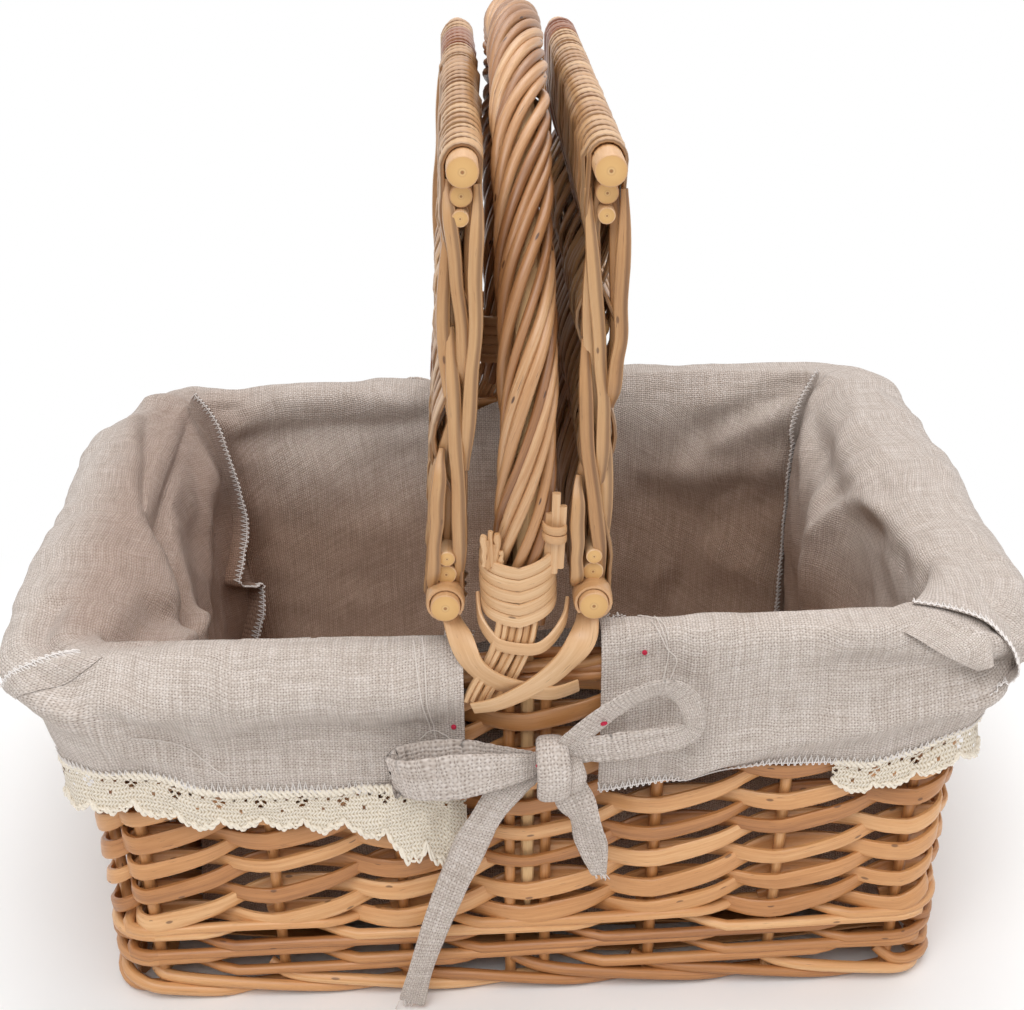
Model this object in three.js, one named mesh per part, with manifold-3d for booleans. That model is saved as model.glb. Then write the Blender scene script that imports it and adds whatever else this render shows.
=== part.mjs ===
// Picnic basket of woven willow: two hinged lids, a roped arch handle and a linen liner.
// Millimetres, +Z up, origin under the middle of the foot, X along the basket, front towards -Y.
import * as THREE from 'three';
import { mergeVertices } from 'three/addons/utils/BufferGeometryUtils.js';
import Module from 'manifold-3d';

const wasm = await Module();
wasm.setup();

// Overall sizes, over the weave
const rimLength = 400;
const rimDepth = 310;
const wallFlare = 6;
const rimHeight = 190;
const cornerRadius = 16;
const clearance = 0.3;

// Stakes and side weave
const stakeDiameter = 6;
const stakesPerHalfFront = 2;
const stakesPerSide = 3;
const weaverWidth = 7.2;
const weaverThickness = 3.4;
const weaverSlack = 0.8;
const weaverRounds = 7;
const borderWidth = 12;
const borderHeight = 18;

// Foot
const footBorderWidth = 10;
const footBorderHeight = 13;
const waleDiameter = 4.6;
const waleRise = 10.6;
const waleRounds = 2;

// Base mat
const baseEndStickDiameter = 10;
const baseStickDiameter = 7;
const basePasses = 12;
const baseWeaverWidth = 19;
const baseWeaverThickness = 2;
const baseLift = 1;

// Handle
const handleRise = 244;
const coreDiameter = 12.4;
const coreTipHeight = 40;
const coreShoulder = 14;
const sideRodSpacing = 8;
const ropeRods = 8;
const ropeRodDiameter = 6.8;
const ropeTurns = 3.8;
const ropeSteps = 40;
const ropeSlack = 1;

// Binding, foot rods and straps at the handle's feet
const bindingTurns = 5;
const bindingPitch = 6;
const bindingWidth = 4.6;
const bindingThickness = 1.6;
const bindingLift = 18;
const footRodDiameter = 4.4;
const footRodCount = 5;
const footRodDrop = 24;
const strapWidth = 11;
const strapThickness = 1.8;
const strapDrop = 20;

// Lids
const leftHingeOffset = 34.5;
const rightHingeOffset = 27;
const hingeRise = 22;
const lidLength = 182;
const leftLidLean = 3.2;
const rightLidLean = -1;
const lidStickOverhang = 5;
const endStickDiameter = 12.4;
const companionDiameter = 8.8;
const slimDiameter = 6.8;
const bundleGap = 0.5;
const middleStickDiameter = 7;
const lidPasses = 16;
const lidWeaverWidth = 17;
const lidWeaverThickness = 2;
const lidSideGap = 3;
const matSlack = 0.6;

// Linen liner and lace
const clothThickness = 2;
const linerInset = 11;
const linerDrop = 6;
const slitWidth = 60;
const skirtDrop = 60;
const skirtGap = 3;
const rollHeight = 4.5;
const rollEase = 1;
const foldLength = 66;
const foldDepth = 8;
const earLength = 26;
const earDepth = 5;
const puffDepth = 3;
const sidePuff = 10;
const laceDrop = 20;
const laceThickness = 1.4;
const scallopDepth = 3;

// Bows
const bowDrop = 50;
const bowLoopLength = 62;
const bowLoopWidth = 22;
const bowWidth = 17;
const bowKnotDiameter = 19;
const bowTailReach = 62;
const bowShortTail = 62;

// Sizes that follow
const handleHeight = rimHeight + handleRise;
const hingeHeight = rimHeight + hingeRise;
const bowHeight = rimHeight - bowDrop;
const hingeOffsetOf = (side) => (side > 0 ? rightHingeOffset : leftHingeOffset);
const lidLeanOf = (side) => (side > 0 ? rightLidLean : leftLidLean);
const weaverSwing = (stakeDiameter + weaverThickness) / 2 + weaverSlack;
const weaveReach = weaverSwing + weaverThickness / 2;
const weaveBottom = footBorderHeight + waleDiameter + (waleRounds + 0.5) * waleRise - clearance;
const borderBottom = rimHeight - borderHeight;
const ropeRadius = (coreDiameter + ropeRodDiameter) / 2 + ropeSlack;
const ropeReach = ropeRadius + ropeRodDiameter / 2;

const up = new THREE.Vector3(0, 0, 1);
const along = new THREE.Vector3(0, 1, 0);
const mix = (from, to, share) => from + (to - from) * share;

const wickerColour = 0xc08a52;
const paleWickerColour = 0xddb683;
const linenColour = 0xc2b8ae;
const laceColour = 0xded6c2;

const willow = (colour) => new THREE.MeshStandardMaterial({ color: colour, roughness: 0.55, metalness: 0 });
const cloth = (colour) => new THREE.MeshStandardMaterial({ color: colour, roughness: 0.95, metalness: 0 });

const basket = new THREE.Group();

function addPart(parent, name, geometry, material) {
  const mesh = new THREE.Mesh(geometry, material);
  mesh.name = name;
  parent.add(mesh);
  return mesh;
}

// Triangles over one ring of points, wound as the ring is
function capFaces(ring) {
  const normal = new THREE.Vector3();
  ring.forEach((point, i) => normal.add(point.clone().cross(ring[(i + 1) % ring.length])));
  const turn = new THREE.Quaternion().setFromUnitVectors(normal.normalize(), up);
  const flat = ring.map((point) => {
    const laid = point.clone().applyQuaternion(turn);
    return new THREE.Vector2(laid.x, laid.y);
  });
  return THREE.ShapeUtils.triangulateShape(flat, []).map(([a, b, c]) => {
    const area = flat[b].clone().sub(flat[a]).cross(flat[c].clone().sub(flat[a]));
    return area > 0 ? [a, b, c] : [a, c, b];
  });
}

// Closed solid through rings of equal point count, with a flat cap on each end
function loft(rings) {
  const count = rings[0].length;
  const vertices = rings.flat();
  const faces = [];
  for (let i = 0; i + 1 < rings.length; i += 1) {
    for (let j = 0; j < count; j += 1) {
      const a = i * count + j;
      const b = i * count + ((j + 1) % count);
      faces.push([a, b, b + count], [a, b + count, a + count]);
    }
  }
  const lastRing = (rings.length - 1) * count;
  capFaces(rings[0]).forEach(([a, b, c]) => faces.push([a, c, b]));
  capFaces(rings.at(-1)).forEach((face) => faces.push(face.map((corner) => corner + lastRing)));
  const volume = faces.reduce((sum, [a, b, c]) => (
    sum + vertices[a].dot(vertices[b].clone().cross(vertices[c]))), 0);
  const outward = volume > 0 ? faces : faces.map(([a, b, c]) => [a, c, b]);
  const geometry = new THREE.BufferGeometry().setFromPoints(vertices);
  geometry.setIndex(outward.flat());
  return geometry;
}

function tangentAt(points, i) {
  const before = points[Math.max(i - 1, 0)];
  const after = points[Math.min(i + 1, points.length - 1)];
  return after.clone().sub(before).normalize();
}

// Sweeps a section of [across, out] pairs along points, with one direction of the section held
function sweep(points, across, sectionAt) {
  return loft(points.map((point, i) => {
    const out = tangentAt(points, i).cross(across).normalize();
    return sectionAt(i / (points.length - 1)).map(([a, b]) => (
      point.clone().addScaledVector(across, a).addScaledVector(out, b)));
  }));
}

const flatSection = (width, thickness) => [
  [-width / 2, -thickness / 2], [width / 2, -thickness / 2],
  [width / 2, thickness / 2], [-width / 2, thickness / 2],
];

function toSolid(geometry) {
  const bare = geometry.clone();
  bare.deleteAttribute('normal');
  bare.deleteAttribute('uv');
  const merged = mergeVertices(bare);
  return new wasm.Manifold(new wasm.Mesh({
    numProp: 3,
    vertProperties: merged.getAttribute('position').array,
    triVerts: Uint32Array.from(merged.index.array),
  }));
}

function toGeometry(solid) {
  const mesh = solid.getMesh();
  const geometry = new THREE.BufferGeometry();
  geometry.setAttribute('position', new THREE.BufferAttribute(mesh.vertProperties, 3));
  geometry.setIndex(new THREE.BufferAttribute(mesh.triVerts, 1));
  return geometry;
}

function join(geometries) {
  return geometries.map(toSolid).reduce((whole, piece) => whole.add(piece));
}

// Half sizes of the stake line, which leans out from the foot to the rim
function stakeLine(z) {
  const share = z / rimHeight;
  return {
    halfX: rimLength / 2 - mix(wallFlare, 0, share) - weaveReach,
    halfY: rimDepth / 2 - mix(wallFlare, 0, share) - weaveReach,
  };
}

// One wall's posts in its own direction: distance from the middle of the wall
function postPlaces(halfRun, innerPosts) {
  const gaps = innerPosts + 1;
  return Array.from({ length: gaps + 1 }, (unused, i) => mix(-halfRun, halfRun, i / gaps));
}

const clusterReach = sideRodSpacing + stakeDiameter / 2;
const walls = [
  { name: 'front', turn: 0, long: true },
  { name: 'right', turn: Math.PI / 2, long: false },
  { name: 'back', turn: Math.PI, long: true },
  { name: 'left', turn: -Math.PI / 2, long: false },
];

// A wall's half run and its distance from the middle of the basket, both on the stake line
function wallFrame(wall, z) {
  const { halfX, halfY } = stakeLine(z);
  return wall.long
    ? { halfRun: halfX - cornerRadius, reach: halfY }
    : { halfRun: halfY - cornerRadius, reach: halfX };
}

// A point of a wall: run along it, out from its stake line, height, turned to the wall's side
function wallPoint(wall, run, out, z) {
  const { reach } = wallFrame(wall, z);
  return new THREE.Vector3(run, -(reach + out), z).applyAxisAngle(up, wall.turn);
}

// A point on the corner that follows a wall, at an angle round it
function cornerPoint(wall, angle, out, z) {
  const { halfRun, reach } = wallFrame(wall, z);
  const radius = cornerRadius + out;
  const x = halfRun + radius * Math.sin(angle);
  const y = -(reach - cornerRadius) - radius * Math.cos(angle);
  return new THREE.Vector3(x, y, z).applyAxisAngle(up, wall.turn);
}

const innerPosts = (wall) => (wall.long ? 2 * stakesPerHalfFront + 1 : stakesPerSide);
const cornerTurns = [Math.PI / 8, 3 * Math.PI / 8];

// The marks that a weaver passes in one round: each post once, a cluster twice, each corner twice
function roundMarks() {
  const marks = [];
  let post = 0;
  walls.forEach((wall) => {
    const places = postPlaces(1, innerPosts(wall));
    places.forEach((place, i) => {
      const isCluster = wall.long && i === stakesPerHalfFront + 1;
      const shifts = isCluster ? [-clusterReach, clusterReach] : [0];
      shifts.forEach((shift) => marks.push({ wall, place, shift, post }));
      post += 1;
    });
    cornerTurns.forEach((angle, i) => marks.push({ wall, angle, post: post - 1 + i, lean: Math.SQRT1_2 }));
  });
  return marks;
}

function weaverPath(startHeight, rise, rounds, swing, phase) {
  const marks = roundMarks();
  return Array.from({ length: rounds * marks.length + 1 }, (unused, i) => {
    const z = startHeight + rise * i / marks.length;
    const mark = marks[i % marks.length];
    const side = (mark.post + phase) % 2 === 0 ? swing : -swing;
    if (mark.angle !== undefined) {
      return cornerPoint(mark.wall, mark.angle, side * mark.lean, z);
    }
    const { halfRun } = wallFrame(mark.wall, z);
    return wallPoint(mark.wall, mark.place * halfRun + mark.shift, side, z);
  });
}

// Foot border: a flat-bottomed ring round the base
function roundedOutline(halfX, halfY, radius) {
  const shape = new THREE.Shape();
  shape.absarc(halfX - radius, halfY - radius, radius, 0, Math.PI / 2);
  shape.absarc(radius - halfX, halfY - radius, radius, Math.PI / 2, Math.PI);
  shape.absarc(radius - halfX, radius - halfY, radius, Math.PI, 3 * Math.PI / 2);
  shape.absarc(halfX - radius, radius - halfY, radius, 3 * Math.PI / 2, 2 * Math.PI);
  return shape;
}

function addFootBorder() {
  const { halfX, halfY } = stakeLine(0);
  const half = footBorderWidth / 2;
  const ring = roundedOutline(halfX + half, halfY + half, cornerRadius + half);
  ring.holes.push(roundedOutline(halfX - half, halfY - half, cornerRadius - half));
  const round = footBorderHeight / 4;
  const geometry = new THREE.ExtrudeGeometry(ring, {
    depth: footBorderHeight - 2 * round,
    curveSegments: 3,
    bevelEnabled: true,
    bevelThickness: round,
    bevelSize: round,
    bevelOffset: -round,
    bevelSegments: 1,
  });
  geometry.translate(0, 0, round);
  addPart(basket, 'foot_border', geometry, willow(wickerColour));
}

// Sticks along Y, and one weaver worked to and fro over and under them
function addMat(parent, prefix, sticks, mat) {
  const material = willow(mat.colour);
  sticks.forEach((stick) => {
    const bar = new THREE.CylinderGeometry(stick.diameter / 2, stick.diameter / 2, stick.length, 8);
    const mesh = addPart(parent, `${prefix}_${stick.name}`, bar, material);
    mesh.position.x = stick.x;
  });
  const pitch = mat.depth / mat.passes;
  const riseOver = (stick) => (stick.diameter + mat.thickness) / 2 + matSlack;
  const points = [];
  for (let pass = 0; pass < mat.passes; pass += 1) {
    const y = -mat.depth / 2 + pitch * (pass + 0.5);
    const outward = pass % 2 === 0;
    const order = outward ? sticks : sticks.toReversed();
    const sign = outward ? 1 : -1;
    order.forEach((stick) => {
      points.push(new THREE.Vector3(stick.x, y, sign * stick.side * riseOver(stick)));
    });
    const last = order.at(-1);
    const turnRadius = riseOver(last) / Math.cos(Math.PI / 8);
    const isLastPass = pass + 1 === mat.passes;
    const turns = isLastPass ? [] : [1, 2, 3];
    turns.forEach((step) => {
      const angle = sign * last.side * (Math.PI / 2 - step * Math.PI / 4);
      const x = last.x + sign * turnRadius * Math.cos(angle);
      points.push(new THREE.Vector3(x, y + pitch * step / 4, turnRadius * Math.sin(angle)));
    });
  }
  const weaver = sweep(points, along, () => flatSection(mat.width, mat.thickness));
  addPart(parent, `${prefix}_weaver`, weaver, material);
}

function addBase() {
  const { halfX, halfY } = stakeLine(0);
  const riseOver = baseEndStickDiameter / 2 + matSlack + baseWeaverThickness / 2;
  const endReach = riseOver / Math.cos(Math.PI / 8) + baseWeaverThickness / 2;
  const endX = halfX - footBorderWidth / 2 - clearance - endReach;
  const stickLength = 2 * (halfY - footBorderWidth / 2 - clearance);
  const cornerCut = 2 * (cornerRadius - footBorderWidth / 2) * (1 - Math.SQRT1_2);
  const names = ['end_stick_left', 'stick_left', 'stick_right', 'end_stick_right'];
  const sticks = names.map((name, i) => ({
    name,
    x: mix(-endX, endX, i / (names.length - 1)),
    diameter: name.startsWith('end') ? baseEndStickDiameter : baseStickDiameter,
    length: name.startsWith('end') ? stickLength - cornerCut : stickLength,
    side: i % 2 === 0 ? 1 : -1,
  }));
  const group = new THREE.Group();
  group.position.z = endReach + baseLift;
  basket.add(group);
  addMat(group, 'base', sticks, {
    depth: stickLength - cornerCut,
    passes: basePasses,
    width: baseWeaverWidth,
    thickness: baseWeaverThickness,
    colour: wickerColour,
  });
  return group.position.z + riseOver + baseWeaverThickness / 2;
}

// Rods and flat weavers that go round the stakes, two of each in turn
function addSideWeave() {
  const waleSwing = (stakeDiameter + waleDiameter) / 2 + weaverSlack / 2;
  const waleSection = flatSection(waleDiameter, waleDiameter);
  const waleStart = footBorderHeight + waleDiameter / 2 + clearance;
  const rise = (borderBottom - clearance - weaveBottom - weaverWidth) / (weaverRounds + 0.5);
  ['a', 'b'].forEach((letter, phase) => {
    const walePath = weaverPath(waleStart + phase * waleRise / 2, waleRise, waleRounds, waleSwing, phase);
    addPart(basket, `foot_wale_${letter}`, sweep(walePath, up, () => waleSection), willow(wickerColour));
    const start = weaveBottom + weaverWidth / 2 + phase * rise / 2;
    const path = weaverPath(start, rise, weaverRounds, weaverSwing, phase);
    const strip = sweep(path, up, () => flatSection(weaverWidth, weaverThickness));
    addPart(basket, `side_weaver_${letter}`, strip, willow(wickerColour));
  });
}

function leaningRod(foot, top, radius, sides) {
  const length = foot.distanceTo(top);
  const rod = new THREE.CylinderGeometry(radius, radius, length, sides);
  const turn = new THREE.Quaternion().setFromUnitVectors(along, top.clone().sub(foot).normalize());
  rod.applyQuaternion(turn);
  const middle = foot.clone().add(top).divideScalar(2);
  return rod.translate(middle.x, middle.y, middle.z);
}

// The rim border's section: three rods lying one above the other on the outside
function borderSection() {
  const half = borderWidth / 2;
  const rod = borderHeight / 3;
  const groove = rod / 6;
  const lobes = [0, 1, 2].flatMap((i) => [
    [i * rod - borderHeight / 2 + groove, half - groove],
    [(i + 0.5) * rod - borderHeight / 2, half],
    [(i + 1) * rod - borderHeight / 2 - groove, half - groove],
  ]);
  return [...lobes, [borderHeight / 2, 0], [borderHeight / 2 - groove, -half], [-borderHeight / 2, -half]];
}

// A wall frame: stakes turned down into the rim border, mitred with the next wall at the corners
function addWallFrame(wall) {
  const middle = rimHeight - borderHeight / 2;
  const { halfRun } = wallFrame(wall, middle);
  const before = walls[(walls.indexOf(wall) + walls.length - 1) % walls.length];
  const cornerEnd = Math.PI / 4 - clearance / (2 * (cornerRadius - borderWidth / 2));
  const places = [
    (out) => cornerPoint(before, Math.PI / 2 - cornerEnd, out, middle),
    (out) => cornerPoint(before, Math.PI / 2 - cornerEnd / 2, out, middle),
    (out) => wallPoint(wall, -halfRun, out, middle),
    (out) => wallPoint(wall, halfRun, out, middle),
    (out) => cornerPoint(wall, cornerEnd / 2, out, middle),
    (out) => cornerPoint(wall, cornerEnd, out, middle),
  ];
  const rings = places.map((place) => (
    borderSection().map(([rise, out]) => place(out).addScaledVector(up, rise))));
  const pieces = [loft(rings)];
  const footZ = footBorderHeight + clearance;
  const topZ = middle;
  const addStake = (place, shift) => {
    const runAt = (z) => place * wallFrame(wall, z).halfRun + shift;
    const foot = wallPoint(wall, runAt(footZ), 0, footZ);
    const top = wallPoint(wall, runAt(topZ), 0, topZ);
    pieces.push(leaningRod(foot, top, stakeDiameter / 2, 6));
  };
  postPlaces(1, innerPosts(wall)).forEach((place, i) => {
    const isCluster = wall.long && i === stakesPerHalfFront + 1;
    const shifts = isCluster ? [-sideRodSpacing, sideRodSpacing] : [0];
    shifts.forEach((shift) => addStake(place, shift));
  });
  let frame = join(pieces);
  if (wall.long) {
    const bore = stakeDiameter / 2 + clearance;
    const foot = wallPoint(wall, 0, 0, borderBottom - borderHeight);
    const top = wallPoint(wall, 0, 0, rimHeight + borderHeight);
    frame = frame.subtract(toSolid(leaningRod(foot, top, bore / Math.cos(Math.PI / 8), 8)));
  }
  addPart(basket, `${wall.name}_wall_frame`, toGeometry(frame), willow(wickerColour));
}

// The handle's line over the basket: two straight legs and a half round
const archRadius = stakeLine(rimHeight).halfY;
const archSpring = handleHeight - ropeReach - archRadius;
const legLength = archSpring - rimHeight;
const archLength = 2 * legLength + Math.PI * archRadius;

function archFrame(distance) {
  const turned = THREE.MathUtils.clamp((distance - legLength) / archRadius, 0, Math.PI);
  const straight = Math.min(distance, legLength) - Math.max(distance - archLength + legLength, 0);
  const outward = new THREE.Vector3(0, -Math.cos(turned), Math.sin(turned));
  const point = outward.clone().multiplyScalar(archRadius);
  point.z += archSpring + straight - legLength;
  return { point, outward, sideways: new THREE.Vector3(1, 0, 0) };
}

function archRing(frame, radius, sides, turn = 0) {
  return Array.from({ length: sides }, (unused, i) => {
    const angle = turn + 2 * Math.PI * i / sides;
    return frame.point.clone()
      .addScaledVector(frame.sideways, radius * Math.cos(angle))
      .addScaledVector(frame.outward, radius * Math.sin(angle));
  });
}

function addHandle() {
  const front = walls[0];
  const back = walls[2];
  const thin = stakeDiameter / 2;
  const tail = (wall) => [[coreTipHeight, thin / 4], [coreTipHeight + borderHeight, thin], [rimHeight, thin]]
    .map(([z, radius]) => {
      const outward = new THREE.Vector3(0, wall === front ? -1 : 1, 0);
      return archRing({ point: wallPoint(wall, 0, 0, z), outward, sideways: new THREE.Vector3(1, 0, 0) }, radius, 8);
    });
  const archSteps = 14;
  const distances = [coreShoulder, legLength];
  for (let i = 1; i < archSteps; i += 1) {
    distances.push(legLength + Math.PI * archRadius * i / archSteps);
  }
  distances.push(archLength - legLength, archLength - coreShoulder);
  const bow = distances.map((distance) => archRing(archFrame(distance), coreDiameter / 2, 8));
  const core = loft([...tail(front), ...bow, ...tail(back).toReversed()]);
  addPart(basket, 'handle_core', core, willow(paleWickerColour));
  for (let rod = 0; rod < ropeRods; rod += 1) {
    const rings = Array.from({ length: ropeSteps + 1 }, (unused, i) => {
      const share = i / ropeSteps;
      const frame = archFrame(mix(coreShoulder, archLength - coreShoulder, share));
      const angle = 2 * Math.PI * (rod / ropeRods - ropeTurns * share);
      frame.point.addScaledVector(frame.sideways, ropeRadius * Math.cos(angle));
      frame.point.addScaledVector(frame.outward, ropeRadius * Math.sin(angle));
      return archRing(frame, ropeRodDiameter / 2, 5, angle);
    });
    addPart(basket, `handle_rope_rod_${rod + 1}`, loft(rings), willow(paleWickerColour));
  }
}

// A skein wound round the roped rods just above the rim, its turns clear of each other
function addBinding(wall) {
  const stepsPerTurn = 10;
  const radius = (ropeReach + clearance) / Math.cos(Math.PI / stepsPerTurn) + bindingThickness / 2;
  const centre = wallPoint(wall, 0, 0, rimHeight);
  const points = Array.from({ length: bindingTurns * stepsPerTurn + 1 }, (unused, i) => {
    const angle = 2 * Math.PI * i / stepsPerTurn;
    const z = rimHeight + bindingLift + bindingPitch * i / stepsPerTurn;
    return new THREE.Vector3(centre.x + radius * Math.cos(angle), centre.y + radius * Math.sin(angle), z);
  });
  const skein = sweep(points, up, () => flatSection(bindingWidth, bindingThickness));
  const gap = Math.min(...points.slice(stepsPerTurn).map((point, i) => point.distanceTo(points[i])));
  console.log(`${wall.name} binding: least gap to itself ${(gap - bindingWidth).toFixed(2)} mm`);
  addPart(basket, `${wall.name}_binding`, skein, willow(paleWickerColour));
}

// Rod ends laid side by side outside the rim, below the binding
function addFootRods(wall) {
  const top = rimHeight + coreShoulder - clearance;
  const bottom = borderBottom - footRodDrop;
  const radius = footRodDiameter / 2;
  const outline = new THREE.Shape();
  for (let i = 0; i < footRodCount; i += 1) {
    const x = (i - (footRodCount - 1) / 2) * footRodDiameter;
    outline.absarc(x, radius, radius, Math.PI, 2 * Math.PI);
  }
  const halfWidth = footRodCount * radius;
  outline.lineTo(halfWidth, footRodDiameter);
  outline.lineTo(-halfWidth, footRodDiameter);
  const geometry = new THREE.ExtrudeGeometry(outline, {
    depth: top - bottom, bevelEnabled: false, curveSegments: 2,
  });
  const reach = wallFrame(wall, rimHeight).reach + weaveReach + clearance + footRodDiameter;
  geometry.translate(0, -reach, bottom);
  geometry.rotateZ(wall.turn);
  addPart(basket, `${wall.name}_foot_rods`, geometry, willow(paleWickerColour));
}

// A strap: a loop round one hinge stick's end, with its tail crossing over the foot rods
function addStrap(wall, side, layer) {
  const isFront = wall.turn === 0;
  const hingeOffset = hingeOffsetOf(isFront ? side : -side);
  const bore = endStickDiameter / 2 + matSlack;
  const ringReach = bore + strapThickness;
  const faceReach = wallFrame(wall, rimHeight).reach + weaveReach + clearance + footRodDiameter;
  const tailOut = faceReach + clearance + (layer + 0.5) * (strapThickness + clearance);
  const ringCentre = tailOut - strapWidth / 2 + strapThickness / 2;
  const disc = new THREE.CylinderGeometry(ringReach, ringReach, strapWidth, 12);
  disc.translate(side * hingeOffset, -ringCentre, hingeHeight);
  const hole = new THREE.CylinderGeometry(bore, bore, 2 * strapWidth, 12);
  hole.translate(side * hingeOffset, -ringCentre, hingeHeight);
  const bottom = borderBottom - strapDrop;
  const start = new THREE.Vector3(side * (hingeOffset - ringReach / 2), -tailOut, hingeHeight - ringReach / 2);
  const end = new THREE.Vector3(-side * (hingeOffset - strapWidth), -tailOut, bottom);
  const across = end.clone().sub(start).normalize().cross(along);
  const tail = sweep([start, end], across, () => flatSection(strapWidth, strapThickness));
  const strap = join([disc, tail]).subtract(toSolid(hole));
  const geometry = toGeometry(strap);
  geometry.rotateZ(wall.turn);
  const sideName = (side > 0) === isFront ? 'right' : 'left';
  addPart(basket, `${wall.name}_${sideName}_strap`, geometry, willow(paleWickerColour));
  return ringCentre;
}

// Lid, modelled closed with its hinge stick on the axis, then raised against the handle
function addLid(name, side, ringInner) {
  const companionPlace = (endStickDiameter + companionDiameter) / 2 + bundleGap;
  const slimPlace = companionPlace + (companionDiameter + slimDiameter) / 2 + bundleGap;
  const sticks = [
    { name: 'hinge_stick', x: 0, diameter: endStickDiameter, side: 1 },
    { name: 'inner_stick_1', x: companionPlace, diameter: companionDiameter, side: 1, tucked: true },
    { name: 'inner_stick_2', x: slimPlace, diameter: slimDiameter, side: 1 },
    { name: 'middle_stick_1', x: mix(slimPlace, lidLength - slimPlace, 1 / 3), diameter: middleStickDiameter, side: -1 },
    { name: 'middle_stick_2', x: mix(slimPlace, lidLength - slimPlace, 2 / 3), diameter: middleStickDiameter, side: 1 },
    { name: 'outer_stick_3', x: lidLength - slimPlace, diameter: slimDiameter, side: -1 },
    { name: 'outer_stick_2', x: lidLength - companionPlace, diameter: companionDiameter, side: -1, tucked: true },
    { name: 'outer_stick_1', x: lidLength, diameter: endStickDiameter, side: -1 },
  ];
  const fullLength = rimDepth + 2 * lidStickOverhang;
  const lengthOf = (stick) => (stick.tucked ? 2 * (ringInner - clearance) : fullLength);
  const lid = new THREE.Group();
  lid.position.set(side * hingeOffsetOf(side), 0, hingeHeight);
  lid.rotation.y = -side * THREE.MathUtils.degToRad(90 + lidLeanOf(side));
  const turned = new THREE.Group();
  turned.rotation.z = side > 0 ? 0 : Math.PI;
  lid.add(turned);
  basket.add(lid);
  addMat(turned, name, sticks.map((stick) => ({ ...stick, length: lengthOf(stick) })), {
    depth: 2 * (ringInner - lidSideGap),
    passes: lidPasses,
    width: lidWeaverWidth,
    thickness: lidWeaverThickness,
    colour: paleWickerColour,
  });
}

// Linen panels inside the walls, sewn at the corners and to the bottom
function addLinerPanels(baseTop) {
  const bottomZ = baseTop + clearance;
  const topZ = rimHeight - linerDrop;
  const wallsFrom = bottomZ + clothThickness + clearance;
  const edge = (wall, z, out) => {
    const { halfRun } = wallFrame(wall, z);
    const mitre = halfRun + cornerRadius + out - clearance;
    return [wallPoint(wall, -mitre, out, z), wallPoint(wall, mitre, out, z)];
  };
  const outer = -linerInset;
  const inner = outer - clothThickness;
  walls.forEach((wall) => {
    const ringAt = (z) => {
      const [a, b] = edge(wall, z, outer);
      const [d, c] = edge(wall, z, inner);
      return [a, b, c, d];
    };
    addPart(basket, `liner_${wall.name}`, loft([ringAt(wallsFrom), ringAt(topZ)]), cloth(linenColour));
  });
  const { halfX, halfY } = stakeLine(bottomZ);
  const bottom = new THREE.BoxGeometry(2 * (halfX + outer), 2 * (halfY + outer), clothThickness);
  bottom.translate(0, 0, bottomZ + clothThickness / 2);
  addPart(basket, 'liner_bottom', bottom, cloth(linenColour));
}

// Places along the rim from the front slit round one side to the back slit, at rim height
function rimStations() {
  const { halfX, halfY } = stakeLine(rimHeight);
  const frontRun = halfX - cornerRadius - slitWidth / 2;
  const sideRun = 2 * (halfY - cornerRadius);
  const cornerRun = cornerRadius * Math.PI / 2;
  const front = walls[0];
  const right = walls[1];
  const back = walls[2];
  const stations = [];
  const step = foldLength / 3;
  const addRun = (length, steps, offset, placeAt) => {
    for (let i = 0; i < steps; i += 1) {
      stations.push({ run: offset + length * i / steps, at: (out, z) => placeAt(i / steps, out, z) });
    }
  };
  const straight = (wall, from, to) => (share, out, z) => {
    const place = wallPoint(wall, mix(from, to, share), 0, rimHeight);
    const outward = new THREE.Vector3(0, -1, 0).applyAxisAngle(up, wall.turn);
    return place.addScaledVector(outward, out).setZ(z);
  };
  const round = (wall) => (share, out, z) => (
    cornerPoint(wall, share * Math.PI / 2, out, rimHeight).setZ(z));
  const frontSteps = Math.round(frontRun / step);
  const sideSteps = Math.round(sideRun / step);
  addRun(frontRun, frontSteps, 0, straight(front, slitWidth / 2, halfX - cornerRadius));
  addRun(cornerRun, 3, frontRun, round(front));
  addRun(sideRun, sideSteps, frontRun + cornerRun, straight(right, cornerRadius - halfY, halfY - cornerRadius));
  addRun(cornerRun, 3, frontRun + cornerRun + sideRun, round(right));
  const backStart = frontRun + 2 * cornerRun + sideRun;
  addRun(frontRun, frontSteps, backStart, straight(back, cornerRadius - halfX, -slitWidth / 2));
  stations.push({ run: backStart + frontRun, at: (out, z) => straight(back, 0, -slitWidth / 2)(1, out, z) });
  const corners = [frontRun + cornerRun / 2, backStart - cornerRun / 2];
  return { stations, corners, total: backStart + frontRun };
}

// How far the hanging cloth stands out at a place along the rim
function foldAt(run, corners, total) {
  const ends = THREE.MathUtils.smoothstep(Math.min(run, total - run), foldLength / 2, foldLength);
  const wave = foldDepth / 2 * (1 - Math.cos(2 * Math.PI * run / foldLength));
  const ears = corners.map((corner) => earDepth * Math.exp(-(((run - corner) / earLength) ** 2)));
  const passed = corners.map((corner) => THREE.MathUtils.smoothstep(run, corner - earLength, corner + earLength));
  const side = sidePuff * passed[0] * (1 - passed[1]);
  return ends * wave + side + Math.max(...ears);
}

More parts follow.
